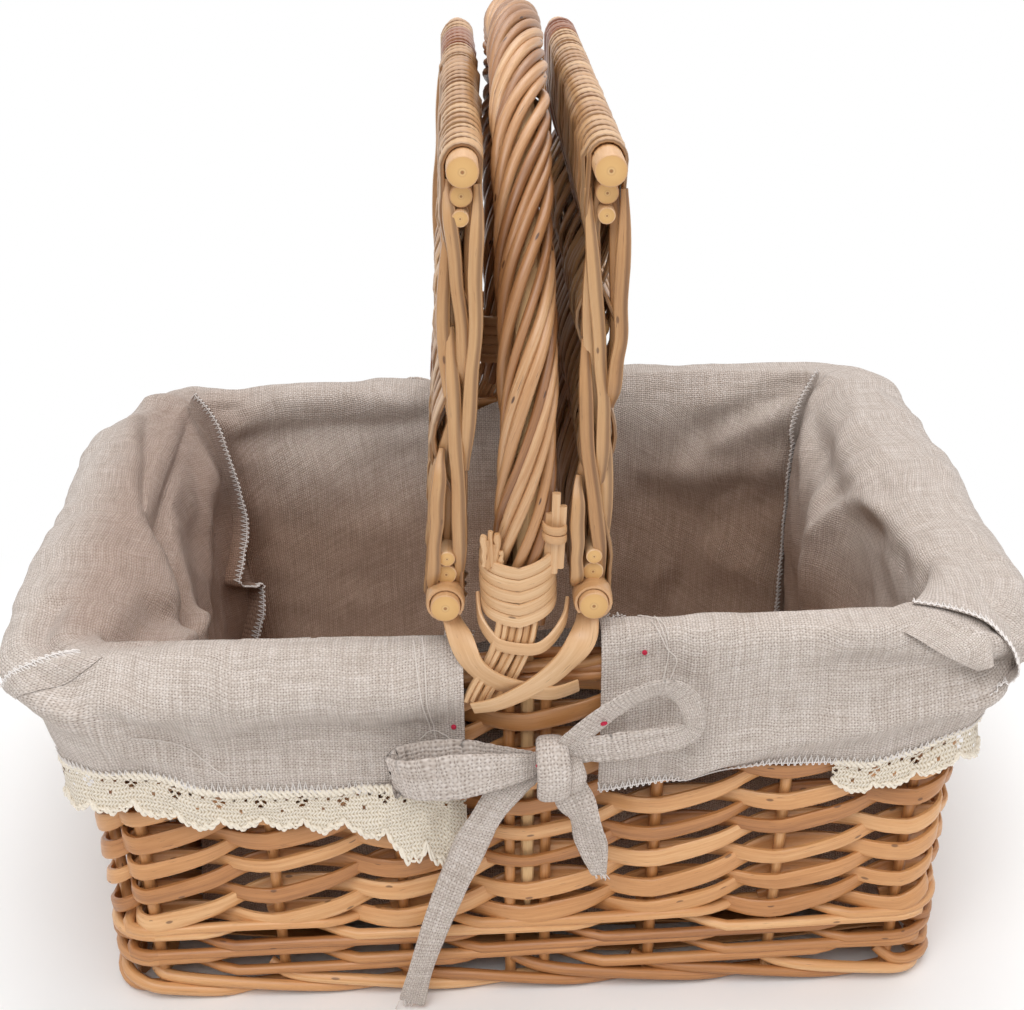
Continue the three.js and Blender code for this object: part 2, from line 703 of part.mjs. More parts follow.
// Linen folded over the rim: up inside it, over it and down outside, in hanging folds
function skirtProfile() {
  const inner = -(linerInset + clothThickness / 2);
  const outer = weaveReach + skirtGap;
  const hem = rimHeight - skirtDrop;
  return [
    { out: inner, z: rimHeight - linerDrop + clearance, share: 0 },
    { out: inner, z: rimHeight - rollEase, share: 0 },
    { out: -borderWidth / 2, z: rimHeight + rollHeight - rollEase, share: 0 },
    { out: 2 * rollEase, z: rimHeight + rollHeight, share: 0 },
    { out: outer + puffDepth / 2, z: rimHeight + rollEase, share: 0.5 },
    { out: outer + puffDepth, z: mix(rimHeight, hem, 0.2), share: 1 },
    { out: outer + puffDepth / 2, z: mix(rimHeight, hem, 0.55), share: 0.8 },
    { out: outer, z: hem, share: 0.3 },
  ];
}

function addSkirts() {
  const { stations, corners, total } = rimStations();
  const profile = skirtProfile();
  const hem = profile.at(-1);
  const mirror = new THREE.Matrix4().makeScale(-1, 1, 1);
  const skirtRings = stations.map(({ run, at }) => {
    const fold = foldAt(run, corners, total);
    const line = profile.map(({ out, z, share }) => new THREE.Vector2(out + fold * share, z));
    const offsetAt = (i, amount) => {
      const before = line[Math.max(i - 1, 0)];
      const after = line[Math.min(i + 1, line.length - 1)];
      const normal = new THREE.Vector2(-(after.y - before.y), after.x - before.x).normalize();
      const place = line[i].clone().addScaledVector(normal, amount);
      return at(place.x, place.y);
    };
    const outside = line.map((unused, i) => offsetAt(i, clothThickness / 2));
    const inside = line.map((unused, i) => offsetAt(i, -clothThickness / 2));
    return [...outside, ...inside.toReversed()];
  });
  const laceRings = stations.map(({ run, at }, i) => {
    const out = hem.out + hem.share * foldAt(run, corners, total);
    const half = laceThickness / 2;
    const top = hem.z - clearance;
    const bottom = top - laceDrop + (i % 2) * scallopDepth;
    return [at(out - half, top), at(out + half, top), at(out + half, bottom), at(out - half, bottom)];
  });
  ['right', 'left'].forEach((side) => {
    const place = (rings) => (side === 'right'
      ? rings : rings.map((ring) => ring.map((point) => point.clone().applyMatrix4(mirror))));
    addPart(basket, `liner_skirt_${side}`, loft(place(skirtRings)), cloth(linenColour));
    addPart(basket, `lace_${side}`, loft(place(laceRings)), cloth(laceColour));
  });
}

// A tied bow in front of a slit: knot, two loops, a long and a short tail, and the two ties
function addBow(wall) {
  const face = wallFrame(wall, rimHeight).reach + skirtProfile().at(-1).out + clothThickness / 2 + clearance + puffDepth / 2;
  const half = clothThickness / 2;
  const layer = foldDepth + clothThickness;
  const knotOut = face + layer / 2;
  const knotX = bowKnotDiameter / 2;
  const knot = new THREE.SphereGeometry(bowKnotDiameter / 2, 8, 6);
  knot.scale(1, 0.8, 1);
  knot.translate(knotX, -knotOut, bowHeight);
  const band = (points, widthAt) => sweep(points, up, (share) => flatSection(widthAt(share), clothThickness));
  const loop = (side, lift) => {
    const place = (share, out) => new THREE.Vector3(
      knotX + side * bowLoopLength * share, -out, bowHeight + lift * share);
    const near = face + half;
    const far = near + layer;
    return band([
      place(0, knotOut - half), place(0.3, near + foldDepth / 2), place(0.7, near + foldDepth / 2),
      place(0.95, near + foldDepth / 2 + 1), place(1, (near + far) / 2 + foldDepth / 2),
      place(0.95, far + foldDepth / 2 - 1), place(0.7, far + foldDepth / 2), place(0.3, far + foldDepth / 2),
      place(0, knotOut + half + 1),
    ], (share) => mix(bowWidth / 2, bowLoopWidth, Math.sin(Math.PI * share)));
  };
  const tie = (side) => band([
    new THREE.Vector3(knotX, -knotOut, bowHeight),
    new THREE.Vector3(side * (slitWidth / 2 - bowWidth / 2), -(face + half), bowHeight + half),
    new THREE.Vector3(side * (slitWidth / 2 + bowWidth / 2), -(face + half), bowHeight + half),
  ], () => bowWidth / 2);
  const tailOut = face + half + foldDepth / 2;
  const hang = (points) => {
    const across = new THREE.Vector3(1, 0, 0);
    return sweep(points, across, (share) => flatSection(mix(bowWidth, 0.7 * bowWidth, share), clothThickness));
  };
  const longTail = hang([
    new THREE.Vector3(knotX - bowWidth / 4, -knotOut, bowHeight),
    new THREE.Vector3(-bowTailReach / 4, -(tailOut + half), mix(bowHeight, 0, 0.2)),
    new THREE.Vector3(-bowTailReach * 0.6, -tailOut, mix(bowHeight, 0, 0.45)),
    new THREE.Vector3(-bowTailReach * 0.85, -tailOut, mix(bowHeight, 0, 0.75)),
    new THREE.Vector3(-bowTailReach, -tailOut, clothThickness),
  ]);
  const shortTail = hang([
    new THREE.Vector3(knotX + bowWidth / 4, -knotOut, bowHeight),
    new THREE.Vector3(knotX + bowWidth / 2, -tailOut, bowHeight - bowShortTail / 2),
    new THREE.Vector3(knotX + bowWidth, -tailOut, bowHeight - bowShortTail),
  ]);
  const bow = join([knot, loop(-1, -2), loop(1, bowLoopLength / 3), tie(-1), tie(1), longTail, shortTail]);
  const geometry = toGeometry(bow);
  geometry.rotateZ(wall.turn);
  addPart(basket, `${wall.name}_bow`, geometry, cloth(linenColour));
}

addFootBorder();
const baseTop = addBase();
addSideWeave();
walls.forEach(addWallFrame);
addHandle();
const longWalls = walls.filter((wall) => wall.long);
const ringCentres = longWalls.flatMap((wall) => {
  addBinding(wall);
  addFootRods(wall);
  return [addStrap(wall, -1, 0), addStrap(wall, 1, 1)];
});
const ringInner = Math.min(...ringCentres) - strapWidth / 2;
addLid('left_lid', -1, ringInner);
addLid('right_lid', 1, ringInner);
addLinerPanels(baseTop);
addSkirts();
longWalls.forEach(addBow);

export default basket;
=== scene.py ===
import math
import random

import bmesh
import bpy
from mathutils import Matrix, Vector, noise


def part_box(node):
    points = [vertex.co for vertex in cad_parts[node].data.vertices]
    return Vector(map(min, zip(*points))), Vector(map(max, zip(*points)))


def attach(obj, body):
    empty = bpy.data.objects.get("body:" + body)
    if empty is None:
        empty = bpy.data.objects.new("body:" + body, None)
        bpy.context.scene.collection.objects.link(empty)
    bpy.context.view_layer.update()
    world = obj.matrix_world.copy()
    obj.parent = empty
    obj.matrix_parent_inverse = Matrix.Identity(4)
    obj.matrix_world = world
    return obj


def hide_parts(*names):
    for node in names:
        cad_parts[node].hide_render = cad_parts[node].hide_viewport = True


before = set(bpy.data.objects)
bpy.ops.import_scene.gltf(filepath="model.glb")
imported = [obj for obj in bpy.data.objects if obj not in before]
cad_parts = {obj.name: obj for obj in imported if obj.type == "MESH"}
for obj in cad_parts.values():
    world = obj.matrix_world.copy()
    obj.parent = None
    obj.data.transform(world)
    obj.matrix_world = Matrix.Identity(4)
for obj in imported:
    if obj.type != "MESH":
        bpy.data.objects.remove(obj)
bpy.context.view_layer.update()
scene = bpy.context.scene
mm = 0.001
rng = random.Random(11)


def hexColour(code):
    channels = [int(code[i:i + 2], 16) / 255 for i in (0, 2, 4)]
    linear = [c / 12.92 if c <= 0.04045 else ((c + 0.055) / 1.055) ** 2.4 for c in channels]
    return (*linear, 1.0)


# A node with its inputs, by order or by key, and its settings; gives one of its outputs
def addNode(tree, kind, inputs=(), out=0, **settings):
    node = tree.nodes.new("ShaderNode" + kind)
    for key, value in settings.items():
        setattr(node, key, value)
    for key, value in inputs.items() if isinstance(inputs, dict) else enumerate(inputs):
        if isinstance(value, bpy.types.NodeSocket):
            tree.links.new(value, node.inputs[key])
        else:
            node.inputs[key].default_value = value
    return node.outputs[out] if node.outputs else node


def newMaterial(name):
    material = bpy.data.materials.new(name)
    material.use_nodes = True
    material.node_tree.nodes.clear()
    return material, material.node_tree


def setRamp(node, stops):
    elements = node.color_ramp.elements
    while len(elements) < len(stops):
        elements.new(0.5)
    for element, (place, colour) in zip(elements, stops):
        element.position = place
        element.color = hexColour(colour)


# Peeled willow, varnished: one tone per strand, streaks along the grain, dark flecks and leaf scars,
# and painted shade on the narrow sides of the strips
willowGrain = {"across": 9.0, "along": 22.0, "scars": 21.0, "shift": 37.0, "broad": 0.35, "dark": "4A2A14",
               "spot edge": (0.68, 0.76), "scar edge": (0.025, 0.04), "side edge": (0.02, 0.075), "coat": 0.32,
               "bump": 0.35, "bump depth": 0.4 * mm,
               "noises": [(2.2, 5.0, 0.65), (0.35, 2.0, 0.5), (5.5, 2.0, 0.5)]}


# edge sets how dark the painted shade on the narrow sides of each strip is
def makeWillow(name, tones, streak, roughness, coat, fleck, edge=0.0):
    material, tree = newMaterial(name)
    across, along, _ = addNode(tree, "SeparateXYZ", [addNode(tree, "UVMap", uv_map="UVMap")]).node.outputs
    strand = addNode(tree, "NewGeometry", out="Random Per Island")
    shift = addNode(tree, "Math", (strand, willowGrain["shift"]), operation="MULTIPLY")
    grain = addNode(tree, "CombineXYZ", (
        addNode(tree, "Math", (across, willowGrain["across"]), operation="MULTIPLY"),
        addNode(tree, "Math", (along, willowGrain["along"]), operation="MULTIPLY"), shift))
    fine, broad, spots = (
        addNode(tree, "TexNoise", {"Vector": grain, "Scale": scale, "Detail": detail, "Roughness": rough})
        for scale, detail, rough in willowGrain["noises"])
    tone = addNode(tree, "Mix", {0: streak, 2: strand, 3: fine}, data_type="FLOAT")
    tone = addNode(tree, "Mix", {0: willowGrain["broad"], 2: tone, 3: broad}, data_type="FLOAT")
    skin = addNode(tree, "ValToRGB", [tone])
    setRamp(skin.node, tones)
    spots = addNode(tree, "MapRange", (spots, *willowGrain["spot edge"], 0.0, fleck))
    scars = addNode(tree, "CombineXYZ", (
        addNode(tree, "Math", (across, shift), operation="ADD"),
        addNode(tree, "Math", (along, willowGrain["scars"]), operation="MULTIPLY"), 0.0))
    scars = addNode(tree, "TexVoronoi", {"Vector": scars, "Scale": 1.0}, "Distance", voronoi_dimensions="2D")
    scars = addNode(tree, "MapRange", (scars, *willowGrain["scar edge"], fleck, 0.0))
    # Painted shade along the two narrow sides of each strip, by the distance round its section
    edgeShade = addNode(tree, "Math", (across, 0.25), operation="PINGPONG")
    edgeShade = addNode(tree, "MapRange", (edgeShade, *willowGrain["side edge"], edge, 0.0))
    for mark in (scars, edgeShade):
        spots = addNode(tree, "Math", (spots, mark), operation="MAXIMUM")
    colour = addNode(tree, "Mix", {0: spots, 6: skin, 7: hexColour(willowGrain["dark"])}, 2, data_type="RGBA")
    bump = addNode(tree, "Bump", {"Strength": willowGrain["bump"], "Distance": willowGrain["bump depth"],
                                  "Height": fine})
    shader = addNode(tree, "BsdfPrincipled", {"Base Color": colour, "Roughness": roughness, "Coat Weight": coat,
                                              "Coat Roughness": willowGrain["coat"], "Normal": bump})
    addNode(tree, "OutputMaterial", [shader])
    return material


buffWillow = makeWillow("varnished buff willow", [
    (0.2, "7C4A26"), (0.42, "B67C48"), (0.6, "D09862"), (0.8, "EBC08E")], 0.5, 0.42, 0.2, 0.7)
paleWillow = makeWillow("varnished pale willow", [
    (0.18, "94633A"), (0.4, "BE9062"), (0.6, "D0A67A"), (0.8, "E4C49C")], 0.6, 0.42, 0.2, 0.7)
handleWillow = makeWillow("varnished handle willow", [
    (0.15, "5E381C"), (0.4, "9A6A42"), (0.62, "BB8C60"), (0.85, "E4C49C")], 0.5, 0.38, 0.3, 0.95)
# The lid strips get painted shade on their narrow sides, standing in for the shade between strips
lidWillow = makeWillow("varnished lid willow", [
    (0.18, "7E5230"), (0.4, "B08254"), (0.6, "C49A6C"), (0.8, "DCBA90")], 0.6, 0.42, 0.2, 0.7, 0.55)
barkWillow = makeWillow("willow with bark left on", [
    (0.2, "5A3020"), (0.5, "865034"), (0.8, "B88860")], 0.6, 0.42, 0.2, 0.3)

# Sizes shared with the construction, in metres
rimLength = 400 * mm
rimDepth = 310 * mm
footLength = 388 * mm
footDepth = 298 * mm
rimHeight = 190 * mm
cornerRadius = 16 * mm
weaveReach = 7.2 * mm
wallPosts = (7, 5, 7, 5)
postCount = sum(wallPosts)
wallTurns = ((0, -1), (1, 0), (0, 1), (-1, 0))


def mix(a, b, share):
    return a + (b - a) * share


def smooth(share):
    share = min(1.0, max(0.0, share))
    return share * share * (3 - 2 * share)


def wander(seed, place, size):
    return size * noise.noise(Vector((seed * 7.31, place, seed * 0.37)))


# The loop of stakes: mark counts stakes from the front left corner, out is away from the middle
def loopPoint(mark, out, z):
    halfX = mix(footLength, rimLength, z / rimHeight) / 2 - weaveReach
    halfY = mix(footDepth, rimDepth, z / rimHeight) / 2 - weaveReach
    corner = max(cornerRadius, 4 * mm - out)
    reachX = halfX - corner
    reachY = halfY - corner
    mark = mark % postCount
    first = 0
    for wall, posts in enumerate(wallPosts):
        if mark < first + posts:
            break
        first += posts
    nx, ny = wallTurns[wall]
    tx, ty = -ny, nx
    reach, deep = (reachX, halfY) if wall % 2 == 0 else (reachY, halfX)
    step = mark - first
    if step <= posts - 1:
        run = reach * (2 * step / (posts - 1) - 1)
        return Vector((tx * run + nx * (deep + out), ty * run + ny * (deep + out), z))
    angle = (step - posts + 1) * math.pi / 2
    radius = corner + out
    run = reach + radius * math.sin(angle)
    deep = deep - corner + radius * math.cos(angle)
    return Vector((tx * run + nx * deep, ty * run + ny * deep, z))


# Helper curves, removed at the end, and how far round each section its corners lie
tools = []
girths = {}


# Cross-section of a rod or strip; power below 1 squares it off
def makeSection(name, width, height, power=1.0, count=10):
    curve = bpy.data.curves.new(name, "CURVE")
    curve.dimensions = "2D"
    spline = curve.splines.new("POLY")
    spline.points.add(count - 1)
    for i, point in enumerate(spline.points):
        angle = (i + 0.5) / count * 2 * math.pi
        c, s = math.cos(angle), math.sin(angle)
        x, y = (math.copysign(abs(part) ** power, part) for part in (c, s))
        point.co = (x * width / 2, y * height / 2, 0, 1)
    spline.use_cyclic_u = True
    ring = [Vector(point.co[:2]) for point in spline.points]
    lengths = [0.0]
    for a, b in zip(ring, ring[1:] + ring[:1]):
        lengths.append(lengths[-1] + (b - a).length)
    girths[name] = [length / lengths[-1] for length in lengths]
    section = bpy.data.objects.new(name, curve)
    scene.collection.objects.link(section)
    tools.append(section)
    return section


strandCurve = bpy.data.curves.new("strand", "CURVE")
strandCurve.dimensions = "3D"
strandCurve.bevel_mode = "OBJECT"
strandCurve.use_fill_caps = True
strandObject = bpy.data.objects.new("strand", strandCurve)
scene.collection.objects.link(strandObject)
tools.append(strandObject)


# One strand swept along points and added to a mesh, with its length in metres down the UV map
def addStrand(bm, section, points, radii=None, tilts=None, closed=False, twist="MINIMUM", material=0, girth=1.0):
    strandCurve.splines.clear()
    strandCurve.bevel_object = section
    strandCurve.twist_mode = twist
    spline = strandCurve.splines.new("POLY")
    spline.points.add(len(points) - 1)
    for i, point in enumerate(points):
        spline.points[i].co = (*point, 1)
        spline.points[i].radius = radii[i] if radii else 1.0
        spline.points[i].tilt = tilts[i] if tilts else 0.0
    spline.use_cyclic_u = closed
    spline.use_smooth = True
    length = sum((points[i + 1] - points[i]).length for i in range(len(points) - 1))
    mesh = bpy.data.meshes.new_from_object(strandObject.evaluated_get(bpy.context.evaluated_depsgraph_get()))
    rounds = girths[section.name]
    for item in mesh.uv_layers[0].uv:
        item.vector = (rounds[round(item.vector.y * (len(rounds) - 1))] * girth, item.vector.x * length)
    for face in mesh.polygons:
        face.material_index = material
    bm.from_mesh(mesh)
    bpy.data.meshes.remove(mesh)


def uvLayer(bm):
    return bm.loops.layers.uv.get("UVMap") or bm.loops.layers.uv.new("UVMap")


# A finished piece: welded, smooth but for its sharp edges, and tied to the construction
def finishPiece(name, bm, materials, body, nodes, sharp=50):
    bmesh.ops.remove_doubles(bm, verts=bm.verts, dist=1e-6)
    bmesh.ops.recalc_face_normals(bm, faces=bm.faces)
    mesh = bpy.data.meshes.new(name)
    bm.to_mesh(mesh)
    bm.free()
    mesh.shade_smooth()
    mesh.set_sharp_from_angle(angle=math.radians(sharp))
    for material in materials:
        mesh.materials.append(material)
    piece = bpy.data.objects.new(name, mesh)
    scene.collection.objects.link(piece)
    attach(piece, body)
    if nodes:
        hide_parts(*nodes)
    return piece


print("stage: sections and materials")

roundRod = makeSection("roundRod", 1, 1, 1.0, 8)
sideStrip = makeSection("sideStrip", 3.4 * mm, 9.2 * mm, 0.55, 12)

# Side weave in French randing: a split willow from every stake, level behind one stake and in front of the next,
# then up a row
sideWeave = {"bottom": 44 * mm, "pitch": 15.3 * mm, "levels": 8, "swing": 5.3 * mm, "steps": 210, "late": 0.17,
             "square": 1.6, "start": -1.1, "ease": 0.12, "thick": (0.93, 1.07), "width": (0.98, 0.86),
             "crossing": 0.1, "waver": 2 * mm}
bm = bmesh.new()
for start in range(postCount):
    wide = rng.uniform(*sideWeave["thick"])
    points, radii, tilts = [], [], []
    for i in range(sideWeave["steps"] + 1):
        run = mix(sideWeave["start"], 2 * sideWeave["levels"], i / sideWeave["steps"])
        level = math.floor(run / 2)
        share = min(1.0, run - 2 * level)
        climb = level + mix(share, smooth(share), sideWeave["ease"])
        side = math.cos(math.pi * (run - sideWeave["late"]))
        bulge = math.tanh(sideWeave["square"] * side) / math.tanh(sideWeave["square"])
        lift = wander(start + 1, run * 0.8, sideWeave["waver"]) + wander(start + 60, run * 0.25, sideWeave["waver"])
        points.append(loopPoint(start + run, sideWeave["swing"] * bulge,
                                sideWeave["bottom"] + sideWeave["pitch"] * climb + lift))
        width = mix(*sideWeave["width"], i / sideWeave["steps"])
        radii.append(wide * (width - sideWeave["crossing"] * (1 - abs(side)) + wander(start + 40, run * 0.35, 0.14)))
        tilts.append(wander(start + 80, run * 1.1, 0.5))
    addStrand(bm, sideStrip, points, radii, tilts, twist="Z_UP")
finishPiece("side_weave", bm, [buffWillow], "basket", ["side_weaver_a", "side_weaver_b"])
print("stage: side weave")

# Foot wale: thin rods in front of two stakes and behind one
footWale = {"rows": 6, "bottom": 16.4 * mm, "pitch": 4.9 * mm, "diameter": 5.3 * mm, "swing": 5.2 * mm, "steps": 8,
            "rise": 3.4 * mm, "front": 1.7, "turn": 0.5, "waver": 1.2 * mm}
waleRepeat = 3
bm = bmesh.new()
for row in range(footWale["rows"]):
    points, radii = [], []
    for i in range(postCount * footWale["steps"]):
        mark = i / footWale["steps"]
        front = footWale["front"]
        phase = (mark + row * 2) % waleRepeat
        side = 1 - 2 * smooth((abs(phase - waleRepeat / 2) - front / 2) / footWale["turn"])
        run = (phase - (waleRepeat - front) / 2) % waleRepeat
        climb = run / front - 0.5 if run < front else 0.5 - (run - front) / (waleRepeat - front)
        z = footWale["bottom"] + row * footWale["pitch"] + footWale["rise"] * climb
        z += wander(row + 5, mark * 0.8, footWale["waver"])
        points.append(loopPoint(mark, footWale["swing"] * side, z))
        radii.append(footWale["diameter"] * (1 + wander(row + 9, mark * 0.3, 0.2)))
    addStrand(bm, roundRod, points, radii, None, True)
finishPiece("foot_wale", bm, [buffWillow], "basket", ["foot_wale_a", "foot_wale_b"])
print("stage: foot wale")


# The point at a share of a smooth line through knots, and the line's direction there
def splineAt(knots, share):
    last = len(knots) - 1
    k = min(int(share * last), last - 1)
    f = share * last - k
    a, b, c, d = (Vector(knots[max(0, min(last, k + j))]) for j in (-1, 0, 1, 2))
    bend, twist = 2 * a - 5 * b + 4 * c - d, 3 * b - a - 3 * c + d
    return 0.5 * (2 * b + (c - a) * f + bend * f ** 2 + twist * f ** 3), (c - a) + 2 * bend * f + 3 * twist * f ** 2


def smoothWay(way, steps):
    return [splineAt(way, i / steps)[0] for i in range(steps + 1)]


# A smooth line given in millimetres, with Y turned to the front or the back
def wayPoints(way, steps, front=1):
    return [Vector((p.x * mm, front * p.y * mm, p.z * mm)) for p in smoothWay(way, steps)]


borderSteps = 40


# A stake end turned down along the border and tucked behind later stakes
def addBorderRod(bm, mark, way, diameter):
    line = smoothWay(way, borderSteps)
    points = [loopPoint(mark + step.x, step.y * mm, step.z * mm) for step in line]
    addStrand(bm, roundRod, points, [diameter * (1 + wander(mark + 3, i / 16, 0.16)) for i in range(len(line))])


# Foot border: every stake end turned along the foot, outside and then behind
footBorder = {"diameter": 5.7 * mm, "lowest": 3.2, "stray": (0.05, 0.4, 0.5),
              "way": [(-0.1, 0, 15), (0.1, 3.6, 10.5), (0.6, 6.2, 8.6), (1.35, 5.6, 4.4), (1.8, 0.8, 3.3),
                      (2.2, -3.2, 3.4)]}
bm = bmesh.new()
for mark in range(postCount):
    way = [[value + rng.uniform(-stray, stray) for value, stray in zip(spot, footBorder["stray"])]
           for spot in footBorder["way"]]
    addBorderRod(bm, mark, [(a, b, max(footBorder["lowest"], c)) for a, b, c in way], footBorder["diameter"])
finishPiece("foot_border_rods", bm, [buffWillow], "basket", ["foot_border"])
print("stage: foot border")

# Stakes, with their tops turned down into the rim border
stakes = {"steps": 14, "diameter": 5.5 * mm, "bottom": 4 * mm, "top": 174 * mm,
          "pair": [-0.14, 0.14], "handle marks": (3, 15),
          "way": [(0, 0, 168), (0.08, 0.6, 174), (0.45, 4.4, 178), (1.3, 4.8, 180), (1.9, 0, 183),
                  (2.6, -3.6, 180.5)],
          "under": [(0, -1, 170), (0.1, 2, 173), (0.5, 5.2, 174), (1.2, 5.4, 176), (1.7, 1, 179), (2.2, -3.6, 178)]}
bm = bmesh.new()
for mark in range(postCount):
    beside = stakes["pair"] if mark in stakes["handle marks"] else [0]
    for aside in beside:
        rises = range(stakes["steps"] + 1)
        points = [loopPoint(mark + aside, wander(mark + 2 + aside, i * 0.6, 0.6 * mm),
                            mix(stakes["bottom"], stakes["top"], i / stakes["steps"])) for i in rises]
        addStrand(bm, roundRod, points, [stakes["diameter"] * (1 + wander(mark + 6, i * 0.4, 0.12)) for i in rises])
    addBorderRod(bm, mark, stakes["way"], stakes["diameter"] * 0.95)
    addBorderRod(bm, mark + 0.5, stakes["under"], stakes["diameter"] * 0.9)
finishPiece("stakes_and_rim", bm, [buffWillow], "basket",
            ["front_wall_frame", "right_wall_frame", "back_wall_frame", "left_wall_frame"])
print("stage: stakes and rim")

# Roped handle: split rods laid in a spiral along the arch, leaning a little at the front foot
handle = {"rods": 11, "laid": 9.9 * mm, "steps": 150, "radius": 147.8 * mm, "spring": 272.3 * mm, "start": 196 * mm,
          "turns": 4.1, "ease": 0.25, "lean": -4 * mm, "leaning": 90 * mm, "waver": 0.16, "slip": 0.13,
          "early": 9 * mm, "thick": (0.86, 1.1)}
handleRod = makeSection("handleRod", 4.5 * mm, 4.65 * mm, 0.92, 10)
legLength = handle["spring"] - handle["start"]
handleLength = 2 * legLength + math.pi * handle["radius"]


# Middle of the handle and its outward direction, a distance along it from the front foot
def archPlace(distance):
    if distance < legLength:
        return Vector((0, -handle["radius"], handle["start"] + distance)), Vector((0, -1, 0))
    if distance > handleLength - legLength:
        return Vector((0, handle["radius"], handle["start"] + handleLength - distance)), Vector((0, 1, 0))
    angle = (distance - legLength) / handle["radius"]
    outward = Vector((0, -math.cos(angle), math.sin(angle)))
    return Vector((0, 0, handle["spring"])) + outward * handle["radius"], outward


bm = bmesh.new()
for rod in range(handle["rods"]):
    points, radii, tilts = [], [], []
    slip = rng.uniform(-handle["slip"], handle["slip"])
    early = rng.uniform(0, handle["early"])
    thick = rng.uniform(*handle["thick"])
    for i in range(handle["steps"] + 1):
        share = i / handle["steps"]
        distance = early + share * (handleLength - early)
        middle, outward = archPlace(distance)
        eased = share - handle["ease"] * math.sin(2 * math.pi * share) / (2 * math.pi)
        angle = 2 * math.pi * (rod / handle["rods"] + handle["turns"] * eased) + slip
        angle += wander(rod + 3, share * 9, handle["waver"])
        laid = handle["laid"] + wander(rod + 8, share * 14, 1.4 * mm)
        lean = handle["lean"] * smooth(1 - distance / handle["leaning"])
        points.append(middle + outward * (laid * math.cos(angle)) + Vector((laid * math.sin(angle) + lean, 0, 0)))
        radii.append(thick * (1 + wander(rod + 21, share * 5, 0.16)))
        tilts.append(angle)
    addStrand(bm, handleRod, points, radii, tilts)
finishPiece("handle_rods", bm, [handleWillow], "basket",
            [f"handle_rope_rod_{i}" for i in range(1, 9)])
print("stage: handle")

# Skein binding at each foot of the handle, its turns dipping to a kink in front, with a band under it
# and a short one beside it
binding = {"turns": 5, "pitch": 5.6 * mm, "bottom": 208.5 * mm, "radius": 15.4 * mm, "steps": 40, "kink": 4.4 * mm,
           "band": [(-21, 146, 212), (-20, 154, 204), (-15, 160.5, 198), (-10, 163, 195.5), (2, 163, 194),
                    (9, 160.5, 197), (15, 154, 203), (17, 146, 208)],
           "short": {"turns": 2, "steps": 24, "pitch": 4 * mm, "bottom": 241 * mm, "radius": 4.6 * mm,
                     "place": (10.5 * mm, 155.5 * mm)}}
bindingStrip = makeSection("bindingStrip", 1.9 * mm, 5.6 * mm, 0.6, 10)
shortStrip = makeSection("shortStrip", 1.4 * mm, 3.6 * mm, 0.6, 8)
bm = bmesh.new()
for front in (-1, 1):
    points, tilts = [], []
    for i in range(binding["turns"] * binding["steps"] + 1):
        turn = i / binding["steps"]
        angle = 2 * math.pi * turn
        dip = min(1.0, abs(turn % 1 - 0.5) * 4)
        radius = binding["radius"] + wander(front + 4, turn * 5, 0.7 * mm)
        points.append(Vector((math.sin(angle) * radius * front + handle["lean"],
                              front * (handle["radius"] - math.cos(angle) * radius * 0.94),
                              binding["bottom"] + turn * binding["pitch"] + binding["kink"] * (dip - 1))))
        tilts.append(wander(front + 9, turn * 4, 0.2))
    addStrand(bm, bindingStrip, points, None, tilts, twist="Z_UP")
    addStrand(bm, bindingStrip, wayPoints(binding["band"], binding["steps"], front), twist="Z_UP")
    short = binding["short"]
    points = []
    for i in range(short["turns"] * short["steps"] + 1):
        angle = 2 * math.pi * i / short["steps"]
        points.append(Vector((short["place"][0] + math.sin(angle) * short["radius"],
                              front * (short["place"][1] - math.cos(angle) * short["radius"]),
                              short["bottom"] + short["pitch"] * i / short["steps"])))
    addStrand(bm, shortStrip, points, twist="Z_UP")
finishPiece("handle_bindings", bm, [paleWillow], "basket", ["front_binding", "back_binding"])

# Thin rods under the binding, slanting to one side, and the rough cut ends that stand out above it
footRods = {"count": 6, "spacing": 2.9 * mm, "aside": 4.5 * mm, "top": 216 * mm, "bottom": 166 * mm, "steps": 12,
            "slant": 15 * mm, "out": (157.6, 160.6), "stub out": 158.5, "bundle out": 155.5, "cuts": 6,
            "stubs": [(-18.2, 231, 245), (-16.8, 230, 243), (-15.4, 231, 247), (-14, 230, 241), (-12.6, 230, 246),
                      (-11.4, 231, 238)],
            "bundle": [(7.5, 226, 253), (10.2, 226, 262), (12.8, 228, 256)]}
splitRod = makeSection("splitRod", 3.0 * mm, 3.6 * mm, 0.7, 8)
bm = bmesh.new()
for front in (-1, 1):
    for rod in range(footRods["count"]):
        x = (rod - (footRods["count"] - 1) / 2) * footRods["spacing"] - footRods["aside"]
        bottom = footRods["bottom"] + rng.uniform(-3, 4) * mm
        points = []
        for i in range(footRods["steps"] + 1):
            share = i / footRods["steps"]
            aside = footRods["slant"] * smooth(share) * i / footRods["steps"]
            points.append(Vector((x - aside + wander(rod + 3, i * 0.3, 0.25 * mm),
                                  front * mix(*footRods["out"], smooth(i / 5)) * mm,
                                  mix(footRods["top"], bottom, share))))
        addStrand(bm, splitRod, points)
    cuts = range(footRods["cuts"] + 1)
    for x, low, high in footRods["stubs"]:
        points = [Vector(((x + wander(x, i * 0.8, 0.8)) * mm,
                          front * (footRods["stub out"] + wander(x, i * 0.7 + 4, 0.7)) * mm,
                          mix(low, high, i / footRods["cuts"]) * mm)) for i in cuts]
        addStrand(bm, splitRod, points, [0.62 + wander(x, i * 1.7, 0.45) for i in cuts])
    for x, low, high in footRods["bundle"]:
        points = [Vector(((x + 1.2 * i / footRods["cuts"]) * mm,
                          front * (footRods["bundle out"] - abs(x - 10) * 0.2) * mm,
                          mix(low, high, i / footRods["cuts"]) * mm)) for i in cuts]
        addStrand(bm, splitRod, points)
finishPiece("handle_foot_rods", bm, [paleWillow], "basket", ["front_foot_rods", "back_foot_rods"])
print("stage: bindings and foot rods")


def boxMiddle(node):
    low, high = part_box(node)
    return (Vector(low) + Vector(high)) / 2


